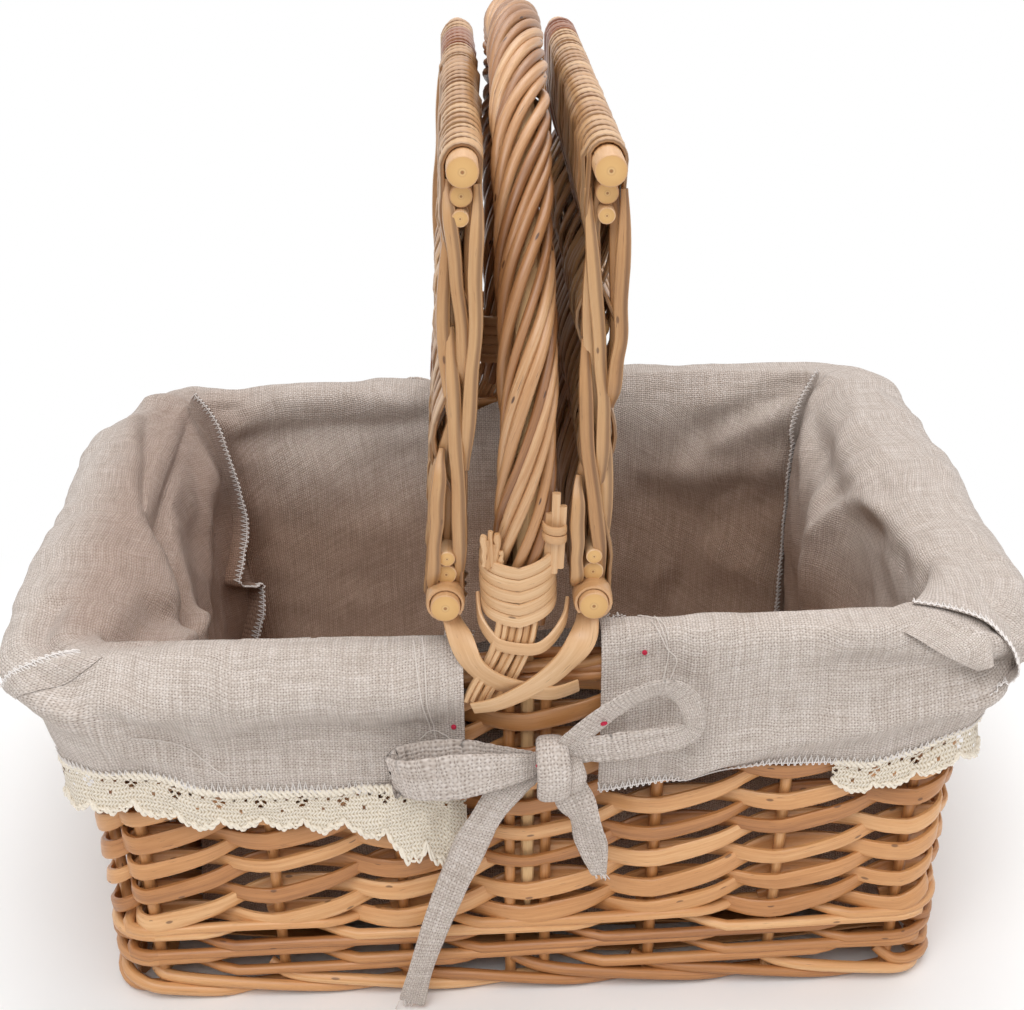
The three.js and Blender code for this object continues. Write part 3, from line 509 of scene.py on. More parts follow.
# Straps: flat strips looped round the ends of the hinge sticks and crossed over the rim, the right one on top
strap = {"loop": 7.3 * mm, "out": 151 * mm, "wrap": (-40, 285), "round": 16, "steps": 40, "twist": 14,
         "left": [(-29, 157.5, 198), (-23.5, 162, 187), (-15, 163, 179.5), (-3, 163.2, 175), (10, 163, 172.5),
                  (21, 160.5, 174.5)],
         "right": [(22.5, 158.5, 196), (12.5, 164, 185.5), (1, 165.6, 177), (-13, 165.4, 169.5), (-24, 163.5, 166.2)],
         "wide": {"left": [0.95, 1.0, 1.0, 0.95, 0.8], "right": [1.1, 1.15, 1.1, 0.85, 0.62]}}
strapStrip = makeSection("strapStrip", 10.5 * mm, 1.8 * mm, 0.5, 12)
strapNodes = []
bm = bmesh.new()
for front in (-1, 1):
    for side, name in ((-1, "left"), (1, "right")):
        strapNodes.append(f"{'front' if front < 0 else 'back'}_{name}_strap")
        hinge = boxMiddle(f"{name}_lid_hinge_stick")
        points, tilts = [], []
        for i in range(strap["round"] + 1):
            angle = math.radians(mix(*strap["wrap"], i / strap["round"]))
            points.append(Vector((hinge.x - side * strap["loop"] * math.cos(angle), front * strap["out"],
                                  hinge.z + strap["loop"] * math.sin(angle))))
            tilts.append(0)
        x, y, z = points[-1]
        tail = wayPoints([(x / mm, y / mm * front, z / mm)] + strap[name], strap["steps"], front)
        wides = smoothWay([(w, 0) for w in strap["wide"][name]], strap["round"] + strap["steps"])
        points += tail[1:]
        tilts += [side * front * math.pi / 2 * smooth(i / strap["twist"]) for i in range(strap["steps"])]
        addStrand(bm, strapStrip, points, [w.x for w in wides], tilts)
finishPiece("hinge_straps", bm, [paleWillow], "basket", strapNodes)
print("stage: straps")

# Cut end of a willow stick: pith, pale wood and a darker skin, by the distance from its middle
cutWillow, tree = newMaterial("cut end of willow")
rings = addNode(tree, "SeparateXYZ", [addNode(tree, "UVMap", uv_map="UVMap")])
wood = addNode(tree, "ValToRGB", [rings])
setRamp(wood.node, [(0.08, "9A6A3E"), (0.16, "D8B27C"), (0.24, "CA9E66"), (0.34, "D4A96E"), (0.9, "CDA066"),
                    (0.97, "8C5A2C")])
addNode(tree, "OutputMaterial", [addNode(tree, "BsdfPrincipled", {"Base Color": wood, "Roughness": 0.62})])


# A straight stick along Y with its ends cut square
def addStick(bm, middle, radius, length):
    uvMap = uvLayer(bm)
    turn = Matrix.Translation(middle) @ Matrix.Rotation(math.pi / 2, 4, "X")
    made = bmesh.ops.create_cone(bm, cap_ends=True, segments=20, radius1=radius, radius2=radius, depth=length,
                                 matrix=turn)
    faces = dict.fromkeys(face for vert in made["verts"] for face in vert.link_faces)
    caps = [face for face in faces if len(face.verts) > 4]
    rims = list(dict.fromkeys(edge for face in caps for edge in face.edges))
    bmesh.ops.bevel(bm, geom=rims, offset=0.5 * mm, affect="EDGES", segments=2, profile=0.5, material=-1)
    caps = [face for face in bm.faces if len(face.verts) > 4 and face.material_index == 0]
    for cap in caps:
        for part in bmesh.ops.poke(bm, faces=[cap])["faces"]:
            part.material_index = 1
            for loop in part.loops:
                away = loop.vert.co - Vector(middle)
                loop[uvMap].uv = (math.hypot(away.x, away.z) / radius, -1)
    for face in bm.faces:
        if face.material_index == 0 and face.is_valid and not face.tag:
            face.tag = True
            for loop in face.loops:
                away = loop.vert.co - Vector(middle)
                loop[uvMap].uv = (math.atan2(away.z, away.x) / (2 * math.pi), away.y)


# Lids: sticks along the hinge and strips woven across them, laid flat with X away from the hinge
lid = {"sticks": [(0, 12.4, 320), (11.1, 8.8, 301), (19.4, 6.8, 304), (67.1, 7, 288), (114.9, 7, 288),
                  (162.6, 6.8, 304), (170.9, 8.8, 301), (182, 12.4, 320)],
       "nodes": ["hinge_stick", "inner_stick_1", "inner_stick_2", "middle_stick_1", "middle_stick_2", "outer_stick_3",
                 "outer_stick_2", "outer_stick_1"],
       "strips": 32, "span": 292 * mm, "slide": 5 * mm, "untwist": 0.62, "reach": 182 * mm, "round": 7.3 * mm,
       "turn": 9, "wide": (0.86, 1.14), "leg steps": 44, "edge steps": 30, "taper": 7, "edge out": 150,
       "inner out": 145, "tuck": 5,
       "leg": [(0, -7.3), (11, -7.0), (21, -6.8), (43, -1.4), (67, 7.2), (91, 1), (115, -7.2), (138, 1.4), (160, 6.8),
               (171, 7.0), (182, 7.3)],
       "left edge": [[(176, 5.6), (150, 2.4), (118, -2.5), (90, -5)],
                     [(175, -6.2), (140, -7), (100, -7.4), (58, -6.5)],
                     [(118, 2), (80, -1), (40, -3.8), (3, -5.6)], [(67, 3.5), (35, 4.6), (3, 5.4)]],
       "right edge": [[(172, 7), (118, 2), (85, -1.5), (45, -2)], [(172, -7), (130, -7), (104, -6.5), (84, -5)],
                      [(112, 6), (75, 4.8), (40, 0.5), (4, -4.4)], [(54, 7), (25, 7), (4, 6.6)]],
       "inner edge": [[(178, 2), (120, 5.5), (60, -4), (12, -5)], [(178, -3), (112, -6), (52, 5), (12, 5)],
                      [(178, 6), (100, 1), (12, 0)]]}
lidStrip = makeSection("lidStrip", 9.2 * mm, 2.2 * mm, 0.65, 10)
edgeStrip = makeSection("edgeStrip", 5.2 * mm, 6.0 * mm, 0.55, 10)
for name, bark in (("left", range(24, 29)), ("right", range(28, 32))):
    hinge = boxMiddle(f"{name}_lid_hinge_stick")
    away = (boxMiddle(f"{name}_lid_outer_stick_1") - hinge).normalized()
    sideways = Vector((0, 1, 0))
    turn = Matrix((away, sideways, away.cross(sideways))).transposed()
    lidMove = Matrix.Translation(hinge) @ turn.to_4x4()
    bm = bmesh.new()
    for place, diameter, length in lid["sticks"]:
        addStick(bm, (place * mm, rng.uniform(-1, 1) * mm, 0), diameter * mm / 2, length * mm)
    bmesh.ops.transform(bm, matrix=lidMove, verts=bm.verts)
    finishPiece(f"{name}_lid_sticks", bm, [paleWillow, cutWillow], f"{name}_lid",
                [f"{name}_lid_{stick}" for stick in lid["nodes"]])
    bm = bmesh.new()
    leg = [(p.x * mm, p.y * mm) for p in smoothWay(lid["leg"], lid["leg steps"])]
    pitch = lid["span"] / lid["strips"]
    for strip in range(lid["strips"]):
        y = -lid["span"] / 2 + (strip + 0.5) * pitch
        seed = strip + (50 if name == "left" else 0)
        wide = rng.uniform(*lid["wide"])
        slides = [rng.uniform(-1, 1) * lid["slide"] for _ in range(2)]
        points, radii = [], []
        for face, back, ends in ((-1, 0, leg), (1, 1, leg[::-1])):
            for a, o in ends:
                a += slides[back] * math.sin(math.pi * a / lid["reach"])
                points.append(Vector((a, y + face * pitch / 4 + wander(seed + 0.5 * back, a / mm * 0.02, 1.8 * mm),
                                      wander(seed + 7 + 2 * back, a / mm * 0.03, 1.6 * mm) - face * o)))
                radii.append(wide * mix(0.8, 1.0, smooth(abs(o) / (4 * mm))))
            for i in range(1, lid["turn"]):
                angle = math.pi * i / lid["turn"]
                points.append(Vector((lid["reach"] * (1 - back) - face * lid["round"] * math.sin(angle),
                                      y + pitch / 2 * (i / lid["turn"] + face / 2), lid["round"] * math.cos(angle))))
                radii.append(wide)
        tilts = [lid["untwist"] * smooth((i - len(leg)) / lid["turn"]) for i in range(len(points))]
        addStrand(bm, lidStrip, points, radii, tilts, material=1 if strip in bark else 0)
    for front in (-1, 1):
        for order, way in enumerate(lid[f"{name} edge"] + lid["inner edge"]):
            inner = order - len(lid[f"{name} edge"])
            deep = lid["edge out"] + 2 * (order % 2) if inner < 0 else lid["inner out"] - 1.6 * inner
            edge = smoothWay([(a, front * deep, -o * front) for a, o in way], lid["edge steps"])
            ends = [smooth(min(i, lid["edge steps"] - i) / lid["taper"]) for i in range(len(edge))]
            tucks = [front * lid["tuck"] * (1 - end) for end in ends]
            points = [Vector((p.x, p.y - tuck, p.z + wander(order + 3, i * 0.15, 1.2))) * mm
                      for i, (p, tuck) in enumerate(zip(edge, tucks))]
            addStrand(bm, edgeStrip, points,
                      [mix(0.5, 1.0, end) + wander(order + 11, i * 0.12, 0.2) for i, end in enumerate(ends)])
    bmesh.ops.transform(bm, matrix=lidMove, verts=bm.verts)
    finishPiece(f"{name}_lid_weave", bm, [lidWillow, barkWillow], f"{name}_lid",
                [f"{name}_lid_weaver"])
print("stage: lids")

# Base mat: sticks across the foot and strips woven along it
base = {"height": 9.2 * mm, "sticks": [(-173, 10), (-57.7, 7), (57.7, 7), (173, 10)], "length": 268 * mm,
        "strips": 27, "span": 258 * mm, "steps": 80,
        "wave": [(-177, -4.6), (-172, 6.1), (-115, 0), (-57.7, -4.6), (0, 0), (57.7, 4.6), (115, 0), (172, -6.1),
                 (177, 4.6)]}
baseStrip = makeSection("baseStrip", 9.2 * mm, 2 * mm, 0.7, 8)
bm = bmesh.new()
for place, diameter in base["sticks"]:
    addStick(bm, (place * mm, 0, base["height"]), diameter * mm / 2, base["length"])
for strip in range(base["strips"]):
    y = base["span"] * ((strip + 0.5) / base["strips"] - 0.5)
    face = 1 if strip % 2 else -1
    way = [(x, y / mm, face * up) for x, up in base["wave"]]
    line = [p * mm + Vector((0, wander(strip, i * 0.1, 1.0 * mm), base["height"]))
            for i, p in enumerate(smoothWay(way, base["steps"]))]
    addStrand(bm, baseStrip, line, twist="Z_UP")
finishPiece("base_mat", bm, [buffWillow, cutWillow], "basket",
            ["base_end_stick_left", "base_stick_left", "base_stick_right", "base_end_stick_right", "base_weaver"])
print("stage: base")


# Linen, an open plain weave: slubby threads at their real spacing, small dark gaps, painted highlight and shade where
# the threads cross, painted warm shade lower down inside the lining, and painted shade on the left panel
# Tints of painted shade: one lower down inside the lining, one on the left panel, with the heights and places they
# cover
linenLook = {"gap": "6A5A50", "deep": "DEC6B4", "leftPanelShade": "D6C6BE", "inside shade heights": (0.188, 0.1), "slub": (0.9, 0.05),
             "stray": 170.0, "stray size": 1.7, "tone": (0.6, 1.4), "over": 0.22, "close": 260.0,
             "close range": (0.3, 0.7, 0.35, 1.0), "hole": (0.2, 1.8, 0.0, 0.8), "bump": 0.5, "bump depth": 0.25 * mm,
             "hollow edges": [(0, -0.224, -0.19), (0, -0.12, -0.17), (1, -0.158, -0.125), (1, 0.165, 0.12)]}


def makeLinen(name, colours, spacing, depth, leftPanelShade):
    material, tree = newMaterial(name)
    uv = addNode(tree, "UVMap", uv_map="UVMap")
    stray = addNode(tree, "TexNoise", {"Vector": uv, "Scale": linenLook["stray"], "Detail": 3.0}, "Color")
    stray = addNode(tree, "VectorMath", {0: stray, "Scale": linenLook["stray size"] * spacing[0]}, operation="SCALE")
    threads = addNode(tree, "SeparateXYZ", [addNode(tree, "VectorMath", (uv, stray), operation="ADD")]).node.outputs
    turns, crossings, slubs = [], [], []
    for axis in (0, 1):
        turn = addNode(tree, "Math", (threads[axis], math.pi / spacing[axis]), operation="MULTIPLY")
        crossings.append(addNode(tree, "Math", [turn], operation="SINE"))
        turn = addNode(tree, "Math", (turn, 2.0), operation="MULTIPLY")
        turns.append(addNode(tree, "Math", [turn], operation="COSINE"))
        stretch = [linenLook["slub"][side != axis] / spacing[axis] for side in (0, 1)]
        drawn = addNode(tree, "VectorMath", (uv, (*stretch, 1)), operation="MULTIPLY")
        slubs.append(addNode(tree, "TexNoise", {"Vector": drawn, "Scale": 1.0, "Detail": 2.0, "Roughness": 0.6}))
    gap = addNode(tree, "Math", turns, operation="ADD")
    # Painted highlight and shade where the threads cross over and under each other
    over = addNode(tree, "Math", crossings, operation="MULTIPLY")
    slub = addNode(tree, "Math", slubs, operation="ADD")
    tone = addNode(tree, "MapRange", (slub, *linenLook["tone"]))
    tone = addNode(tree, "Math", (over, linenLook["over"], tone), operation="MULTIPLY_ADD")
    yarn = addNode(tree, "ValToRGB", [tone])
    setRamp(yarn.node, colours)
    close = addNode(tree, "TexNoise", {"Vector": uv, "Scale": linenLook["close"], "Detail": 2.0})
    close = addNode(tree, "MapRange", (close, *linenLook["close range"]))
    hole = addNode(tree, "MapRange", (gap, *linenLook["hole"]))
    hole = addNode(tree, "Math", (hole, close), operation="MULTIPLY")
    colour = addNode(tree, "Mix", {0: hole, 6: yarn, 7: hexColour(linenLook["gap"])}, 2, data_type="RGBA")
    spot = addNode(tree, "SeparateXYZ", [addNode(tree, "TexCoord", out="Object")]).node.outputs
    # Painted shade, warmer and darker lower down inside the lining, by height; depth sets how strong it is
    deep = addNode(tree, "MapRange", (spot[2], *linenLook["inside shade heights"], 0.0, depth), interpolation_type="SMOOTHSTEP")
    # Painted shade on the left panel of the cloth, by place; the last argument of makeLinen sets how strong it is
    for axis, start, stop in linenLook["hollow edges"]:
        leftPanelShade = addNode(tree, "MapRange", (spot[axis], start, stop, 0.0, leftPanelShade), interpolation_type="SMOOTHSTEP")
    for share, tint in ((deep, "deep"), (leftPanelShade, "leftPanelShade")):
        colour = addNode(tree, "Mix", {0: share, 6: colour, 7: hexColour(linenLook[tint])}, 2, data_type="RGBA",
                         blend_type="MULTIPLY")
    height = addNode(tree, "Math", (slub, gap), operation="SUBTRACT")
    bump = addNode(tree, "Bump", {"Strength": linenLook["bump"], "Distance": linenLook["bump depth"],
                                  "Height": height})
    shader = addNode(tree, "BsdfPrincipled", {"Base Color": colour, "Roughness": 0.95, "Specular IOR Level": 0.15,
                                              "Sheen Weight": 0.15, "Normal": bump})
    addNode(tree, "OutputMaterial", [shader])
    return material


linenColours = [(0.1, "B5A89E"), (0.5, "C7BBB2"), (0.9, "D8CEC7")]
linenSpacing = (1.25 * mm, 1.2 * mm)
# The skirts and the lining both carry painted shade on the left panel
linen = makeLinen("natural grey linen", linenColours, linenSpacing, 0.0, 0.9)
# The lining also carries painted shade lower down inside
linerLinen = makeLinen("natural grey linen, lining", linenColours, linenSpacing, 0.9, 0.9)
bowLinen = makeLinen("natural grey linen, bows", linenColours, (1.5 * mm, 1.4 * mm), 0.0, 0.0)


# Plain matt thread or yarn
def makeThread(name, colour):
    material, tree = newMaterial(name)
    shader = addNode(tree, "BsdfPrincipled", {"Base Color": hexColour(colour), "Roughness": 0.9, "Sheen Weight": 0.2})
    addNode(tree, "OutputMaterial", [shader])
    return material


whiteThread = makeThread("white overlock thread", "E4DEDA")
redThread = makeThread("red tacking thread", "B01238")
greyThread = makeThread("loose linen thread", "D8CFC8")
creamCord = makeThread("cream cotton cord", "EAE0D0")


# A sheet of cloth: a grid placed by shares along and up it, its UV map in metres along and by true length up
def addSheet(bm, columns, rows, pointAt, along):
    uvMap = uvLayer(bm)
    made = bmesh.ops.create_grid(bm, x_segments=columns, y_segments=rows, size=0.5)["verts"]
    shares = {vert: (round((vert.co.x + 0.5) * columns), round((vert.co.y + 0.5) * rows)) for vert in made}
    for vert, (column, row) in shares.items():
        vert.co = pointAt(column / columns, row / rows)
    lengths = {}
    for vert, (column, row) in sorted(shares.items(), key=lambda item: item[1]):
        below = lengths.get((column, row - 1))
        lengths[column, row] = (0.0, vert.co) if below is None else (below[0] + (vert.co - below[1]).length, vert.co)
    for face in {face for vert in made for face in vert.link_faces}:
        for loop in face.loops:
            column, row = shares[loop.vert]
            loop[uvMap].uv = (column / columns * along, lengths[column, row][0])


def ripple(place, size):
    return sum(size / 2 ** k * noise.noise(place * 2 ** k + Vector((k * 5.1, 0, 0))) for k in range(3))


# Marks of the stake loop against distance along the skirt
skirtOut = 14 * mm
markSteps = 10
rimMarks = [0.0]
for i in range(postCount * markSteps):
    here, there = (loopPoint(step / markSteps, skirtOut, rimHeight) for step in (i, i + 1))
    rimMarks.append(rimMarks[-1] + (there - here).length)
rimRound = rimMarks[-1]


def markAt(distance):
    distance = distance % rimRound
    low, high = 0, len(rimMarks) - 1
    while high - low > 1:
        half = (low + high) // 2
        low, high = (half, high) if rimMarks[half] <= distance else (low, half)
    return (low + (distance - rimMarks[low]) / (rimMarks[high] - rimMarks[low])) / markSteps


def distanceAt(mark):
    low = int(mark * markSteps)
    return mix(rimMarks[low], rimMarks[low + 1], mark * markSteps - low)


# Profiles of the cloth in millimetres, out from the stakes and up: from the lining's foot, over the rim, to the hem
clothKnots = {
    "front left": [(-20, 22), (-17, 70), (-15, 120), (-14, 158), (-12.5, 179), (-3, 189.5), (10, 188), (21, 171),
                   (9.5, 147), (14, 122)],
    "slit left": [(-20, 22), (-17, 70), (-15, 120), (-14, 160), (-12, 181), (-3, 191), (8, 189.5), (14, 174),
                  (11, 147), (11.5, 118)],
    "slit": [(-20, 22), (-17, 70), (-15, 120), (-13, 160), (-11.5, 187), (-3, 193), (7, 192), (13, 178), (12, 154),
             (11, 128)],
    "slit right": [(-20, 22), (-17, 70), (-15, 120), (-15, 162), (-14, 186), (-6, 197), (6, 196), (13, 181),
                   (13.5, 152), (11, 121)],
    "front right": [(-20, 22), (-17, 70), (-15, 120), (-15, 162), (-14, 186), (-6, 198), (6, 197), (13, 182),
                    (13.5, 156), (11, 128)],
    "corner right": [(-18, 22), (-16, 70), (-15, 118), (-14, 156), (-12.5, 182), (-4, 197), (10, 196), (24, 184),
                     (20, 164), (12.5, 146)],
    "right front": [(-15, 22), (-13, 70), (-12.5, 116), (-12, 150), (-11, 178), (-4, 195), (16, 199), (34, 188),
                    (26, 166), (13, 145)],
    "right": [(-18, 22), (-22, 70), (-28, 112), (-26, 146), (-19, 176), (-2, 197), (19, 200), (38, 190), (30, 166),
              (13, 141)],
    "back right": [(-20, 22), (-16, 70), (-14, 120), (-13.5, 158), (-12, 182), (-1, 199), (12, 198), (18, 185),
                   (15, 159), (11, 136)],
    "back left": [(-24, 22), (-22, 70), (-20, 120), (-17, 156), (-14, 178), (-4, 193), (8, 192), (15, 179), (13, 155),
                  (11, 133)],
    "left back": [(-24, 22), (-25, 75), (-23, 118), (-19, 148), (-13, 174), (4, 191.5), (21, 195.5), (36, 185),
                  (25, 160), (14, 134)],
    "left front": [(-40, 22), (-42, 75), (-41, 118), (-40, 144), (-34, 162), (-15, 186), (15, 194.5), (37, 186),
                   (25, 160), (14, 134)],
    "corner back left": [(-34, 22), (-40, 75), (-36, 122), (-28, 150), (-16, 174), (0, 188), (14, 188), (27, 178),
                         (18, 156), (12.5, 132)],
    "corner left": [(-28, 22), (-32, 75), (-28, 122), (-22, 155), (-15, 178), (-2, 189), (15, 190), (33, 177),
                    (25, 158), (17, 136)],
}
clothRound = [(0, "corner left"), (0.9, "front left"), (2.0, "front left"), (2.53, "slit left"), (3.0, "slit"),
              (3.5, "slit right"), (4.6, "front right"), (5.4, "front right"), (6.4, "corner right"),
              (7.3, "right front"), (8.4, "right front"), (9.5, "right"), (10.8, "right"), (11.9, "back right"),
              (14.5, "back right"), (15.0, "slit"), (15.5, "back left"), (17.7, "back left"),
              (18.8, "corner back left"), (19.8, "left back"), (20.4, "left back"), (22.3, "left front"),
              (22.7, "left front"), (24, "corner left")]
clothJoin = 4 / 9
# Ridges and hollows in the cloth: how wide and high in millimetres, and where they run by mark and share
clothFolds = [
    (9, -4, [(23.3, 0.60), (0.0, 0.80), (0.5, 0.90)]),
    (6, -7, [(22.7, 0.66), (23.15, 0.67), (23.5, 0.64)]),
    (4, 1.8, [(0.1, 0.93), (0.9, 0.955), (1.7, 0.94)]),
    (6, -3.5, [(0.9, 0.875), (1.15, 0.845), (1.6, 0.87), (2.3, 0.88)]),
    (12, 2.5, [(1.0, 0.78), (1.7, 0.74), (2.3, 0.78)]),
    (8, -8, [(19.5, 0.56), (20.3, 0.505), (21.35, 0.48), (22.25, 0.42), (22.7, 0.37)]),
    (8, 5, [(19.5, 0.635), (20.3, 0.575), (21.3, 0.555), (22.2, 0.49)]),
    (8, 5, [(23.4, 0.50), (22.8, 0.43), (22.0, 0.37)]),
    (9, -6, [(23.1, 0.54), (22.5, 0.50)]),
    (14, 6, [(19.4, 0.36), (20.2, 0.27), (20.9, 0.20)]),
    (9, 5, [(18.6, 0.42), (18.7, 0.56), (18.9, 0.66)]),
    (8, -6, [(18.1, 0.36), (18.15, 0.50), (18.0, 0.62)]),
    (12, 5, [(16.0, 0.49), (17.2, 0.50), (17.7, 0.46)]),
    (10, -4, [(15.7, 0.44), (16.6, 0.41), (17.6, 0.37)]),
    (16, 4, [(16.2, 0.20), (17.2, 0.31)]),
    (11, -7, [(17.75, 0.48), (17.7, 0.64)]),
    (12, 4, [(16.3, 0.54), (17.2, 0.56)]),
    (7, 6, [(9.4, 0.36), (9.15, 0.44), (8.6, 0.5)]),
    (12, 7, [(9.6, 0.20), (9.5, 0.30), (9.7, 0.38)]),
    (8, 3, [(7.8, 0.53), (8.8, 0.49), (10.0, 0.50)]),
    (9, -3.5, [(8.6, 0.45), (9.6, 0.43), (10.9, 0.47)]),
    (8, 4, [(10.4, 0.36), (10.9, 0.46), (11.3, 0.56)]),
    (8, 4, [(11.6, 0.40), (11.75, 0.52), (11.7, 0.62)]),
    (9, -5, [(12.1, 0.50), (12.5, 0.44), (13.0, 0.37)]),
    (10, 4, [(12.3, 0.40), (12.9, 0.33), (13.2, 0.25)]),
    (6, 3.5, [(12.2, 0.29), (12.6, 0.275), (13.2, 0.285)]),
    (7, -4, [(12.2, 0.22), (13.0, 0.20), (13.6, 0.24)]),
    (7, 4, [(12.3, 0.12), (12.9, 0.16), (13.4, 0.12)]),
    (7, -4, [(12.6, 0.25), (13.1, 0.14), (13.3, 0.05)]),
    (6, 4, [(5.9, 0.58), (6.3, 0.70), (6.6, 0.77)]),
    (8, -7, [(5.3, 0.79), (6.1, 0.79), (6.6, 0.82)]),
    (7, 8, [(4.2, 0.97), (5.3, 0.91), (6.3, 0.86), (6.8, 0.80)]),
    (14, 2, [(3.9, 0.68), (4.8, 0.73), (5.4, 0.70)]),
]
foldReach = 230
markReach = 60
# Unevenness of the cloth, how close together and how high in millimetres
clothRipple = {"broad": 15, "broad size": 3.6, "fine": 34, "fine size": 1.5, "hem": 9, "hem size": 3.0}
# Room the cloth keeps from the rim and the walls, in millimetres
clothRoom = {"top": 200, "rim": 188.5, "wall": 8.8, "inside below": 187, "outside below": 188}


def clothSpots(mark):
    for (a, low), (b, high) in zip(clothRound, clothRound[1:]):
        if a <= mark <= b:
            share = smooth((mark - a) / (b - a))
            return [Vector(p).lerp(Vector(q), share) for p, q in zip(clothKnots[low], clothKnots[high])]


# How far the folds lift the cloth at a mark and share
foldRuns = []
for fold, (wide, _, way) in enumerate(clothFolds):
    for (a, b), (c, d) in zip(way, way[1:]):
        for turn in (-postCount, 0, postCount):
            start = Vector(((a + turn) * markReach, b * foldReach))
            stop = Vector(((c + turn + (postCount if c - a < -12 else 0)) * markReach, d * foldReach))
            if -120 < start.x < (postCount + 2) * markReach:
                foldRuns.append((fold, wide, start, stop - start))


def foldLift(mark, share):
    here = Vector((mark * markReach, share * foldReach))
    nearest = {}
    for fold, wide, start, run in foldRuns:
        reach = 3 * wide
        off = here - start - run / 2
        if abs(off.x) > abs(run.x) / 2 + reach or abs(off.y) > abs(run.y) / 2 + reach:
            continue
        f = min(1.0, max(0.0, (here - start).dot(run) / run.length_squared))
        gap = (here - start - run * f).length / wide
        nearest[fold] = min(nearest.get(fold, 3.0), gap)
    return sum(clothFolds[fold][1] * math.exp(-gap * gap) for fold, gap in nearest.items())


def clothPoint(mark, share, lift=0.0):
    mark = mark % postCount
    knots = clothSpots(mark)
    spot, along = splineAt(knots, share)
    away = Vector((-along.y, along.x)).normalized()
    base = loopPoint(mark, spot.x * mm, spot.y * mm)
    bumps = ripple(base * clothRipple["broad"], clothRipple["broad size"])
    bumps += ripple(base * clothRipple["fine"] + Vector((9, 0, 0)), clothRipple["fine size"])
    bumps += foldLift(mark, share)
    if bumps < 0:
        room = max(0.6, spot.y - clothRoom["rim"]) + 14 * smooth((abs(spot.x) - 7) / 9)
        bumps = -room * math.tanh(-bumps / room)
    spot = spot + away * (bumps * smooth(share * 9) * mix(0.55, 1.0, smooth(abs(share - 0.58) * 8)))
    sway = Vector((base.x * clothRipple["hem"], base.y * clothRipple["hem"], 4.0))
    spot.y += ripple(sway, clothRipple["hem size"]) * smooth((share - 0.8) * 6)
    if share < 0.5 and spot.y < clothRoom["inside below"]:
        spot.x = min(spot.x, -clothRoom["wall"])
    elif share > 0.6 and spot.y < clothRoom["outside below"]:
        spot.x = max(spot.x, clothRoom["wall"])
    if 0.4 < share < 0.75 and abs(spot.x) < clothRoom["wall"] - 0.1:
        spot.y = max(spot.y, clothRoom["rim"])
    spot.y = min(spot.y, clothRoom["top"] - 1.2)
    return loopPoint(mark, (spot.x + away.x * lift) * mm, (spot.y + away.y * lift) * mm)


# Lining: a loose linen bag sewn at the corners, with its floor laid on the base
liner = {"floor": 21 * mm, "columns": 470, "rows": 84, "wall": 0.76}


def linerPoint(s, t):
    mark = markAt(s * rimRound)
    drop = min(1.0, (1 - t) / liner["wall"])
    point = clothPoint(mark, clothJoin * (1 - drop))
    inward = (1 - t - liner["wall"]) / (1 - liner["wall"])
    if inward > 0:
        level = ripple(Vector((point.x * 12 * (1 - inward), point.y * 12 * (1 - inward), 3)), 1.5)
        point = Vector((point.x * (1 - inward), point.y * (1 - inward),
                        liner["floor"] + (1 + level) * mm * smooth(inward * 3)))
    return point


# A strip of cloth from one line of points to another, bowed off the straight way between them
def addFlap(bm, first, last, rows, along, bow=(0, 0, 0)):
    columns = len(first) - 1

    def flapPoint(s, t):
        point = first[round(s * columns)].lerp(last[round(s * columns)], t) + Vector(bow) * (4 * t * (1 - t))
        point.z = min(point.z, clothRoom["top"] * mm)
        return point

    addSheet(bm, columns, rows, flapPoint, along)


def lineLength(line):
    return sum((b - a).length for a, b in zip(line, line[1:]))


# Corner seams of the lining: overlocked edges that stand free inside, by mark and share, with their height
linerSeams = {
    "left": {"way": [(18.62, 0.52), (18.72, 0.46), (18.85, 0.38), (19.0, 0.30), (19.1, 0.235), (19.35, 0.20),
                     (19.6, 0.17), (19.3, 0.15), (19.1, 0.14), (19.4, 0.06)],
             "high": 9, "turn": -0.07},
    "right": {"way": [(11.6, 0.54), (11.5, 0.44), (11.42, 0.34), (11.35, 0.24), (11.25, 0.14), (11.2, 0.05)],
              "high": 7, "turn": 0.05},
}
seamSteps = 90
seamLines = {}
for name, seam in linerSeams.items():
    way = smoothWay(seam["way"], seamSteps)
    root = [clothPoint(p.x, p.y) for p in way]
    edge = [clothPoint(p.x + seam["turn"], p.y, seam["high"]) for p in way]
    seamLines[name] = (edge, root)
bm = bmesh.new()
addSheet(bm, liner["columns"], liner["rows"], linerPoint, rimRound)
for edge, root in seamLines.values():
    addFlap(bm, root, edge, 4, 0.2)
linerInside = finishPiece("liner_bag", bm, [linerLinen], "basket",
                          ["liner_front", "liner_right", "liner_back", "liner_left", "liner_bottom"], 180)
print("stage: lining")

# Skirts: the lining's edge turned out over the rim, with the side panels' ends folded over the front corners
skirt = {"columns": 300, "rows": 64}
skirtEnds = {"left": (distanceAt(15.5), distanceAt(2.53) + rimRound), "right": (distanceAt(3.52), distanceAt(14.5))}
cornerFlaps = {
    "left": {"edge": [(-222, -156, 178), (-217, -158, 185), (-209, -158, 189.5), (-200, -155, 191.5),
                      (-190, -150, 190.5)],
             "root": [(23.42, 0.82), (23.55, 0.76), (23.68, 0.71), (23.82, 0.67), (23.97, 0.62)],
             "bow": (-0.6, -1, 1)},
    "right": {"edge": [(166, -140, 199.4), (181, -147.5, 199.8), (193, -156, 198.5), (201.3, -163, 191.6),
                       (204.4, -166, 185.4), (205.4, -167.5, 178.5), (197, -168.5, 172.5), (186.5, -168.5, 166.5)],
              "root": [(7.5, 0.52), (7.6, 0.56), (7.6, 0.61), (7.55, 0.67), (7.48, 0.73), (7.4, 0.79), (7.25, 0.86),
                       (6.95, 0.93)],
              "bow": (2, -1, 0.6)},
}
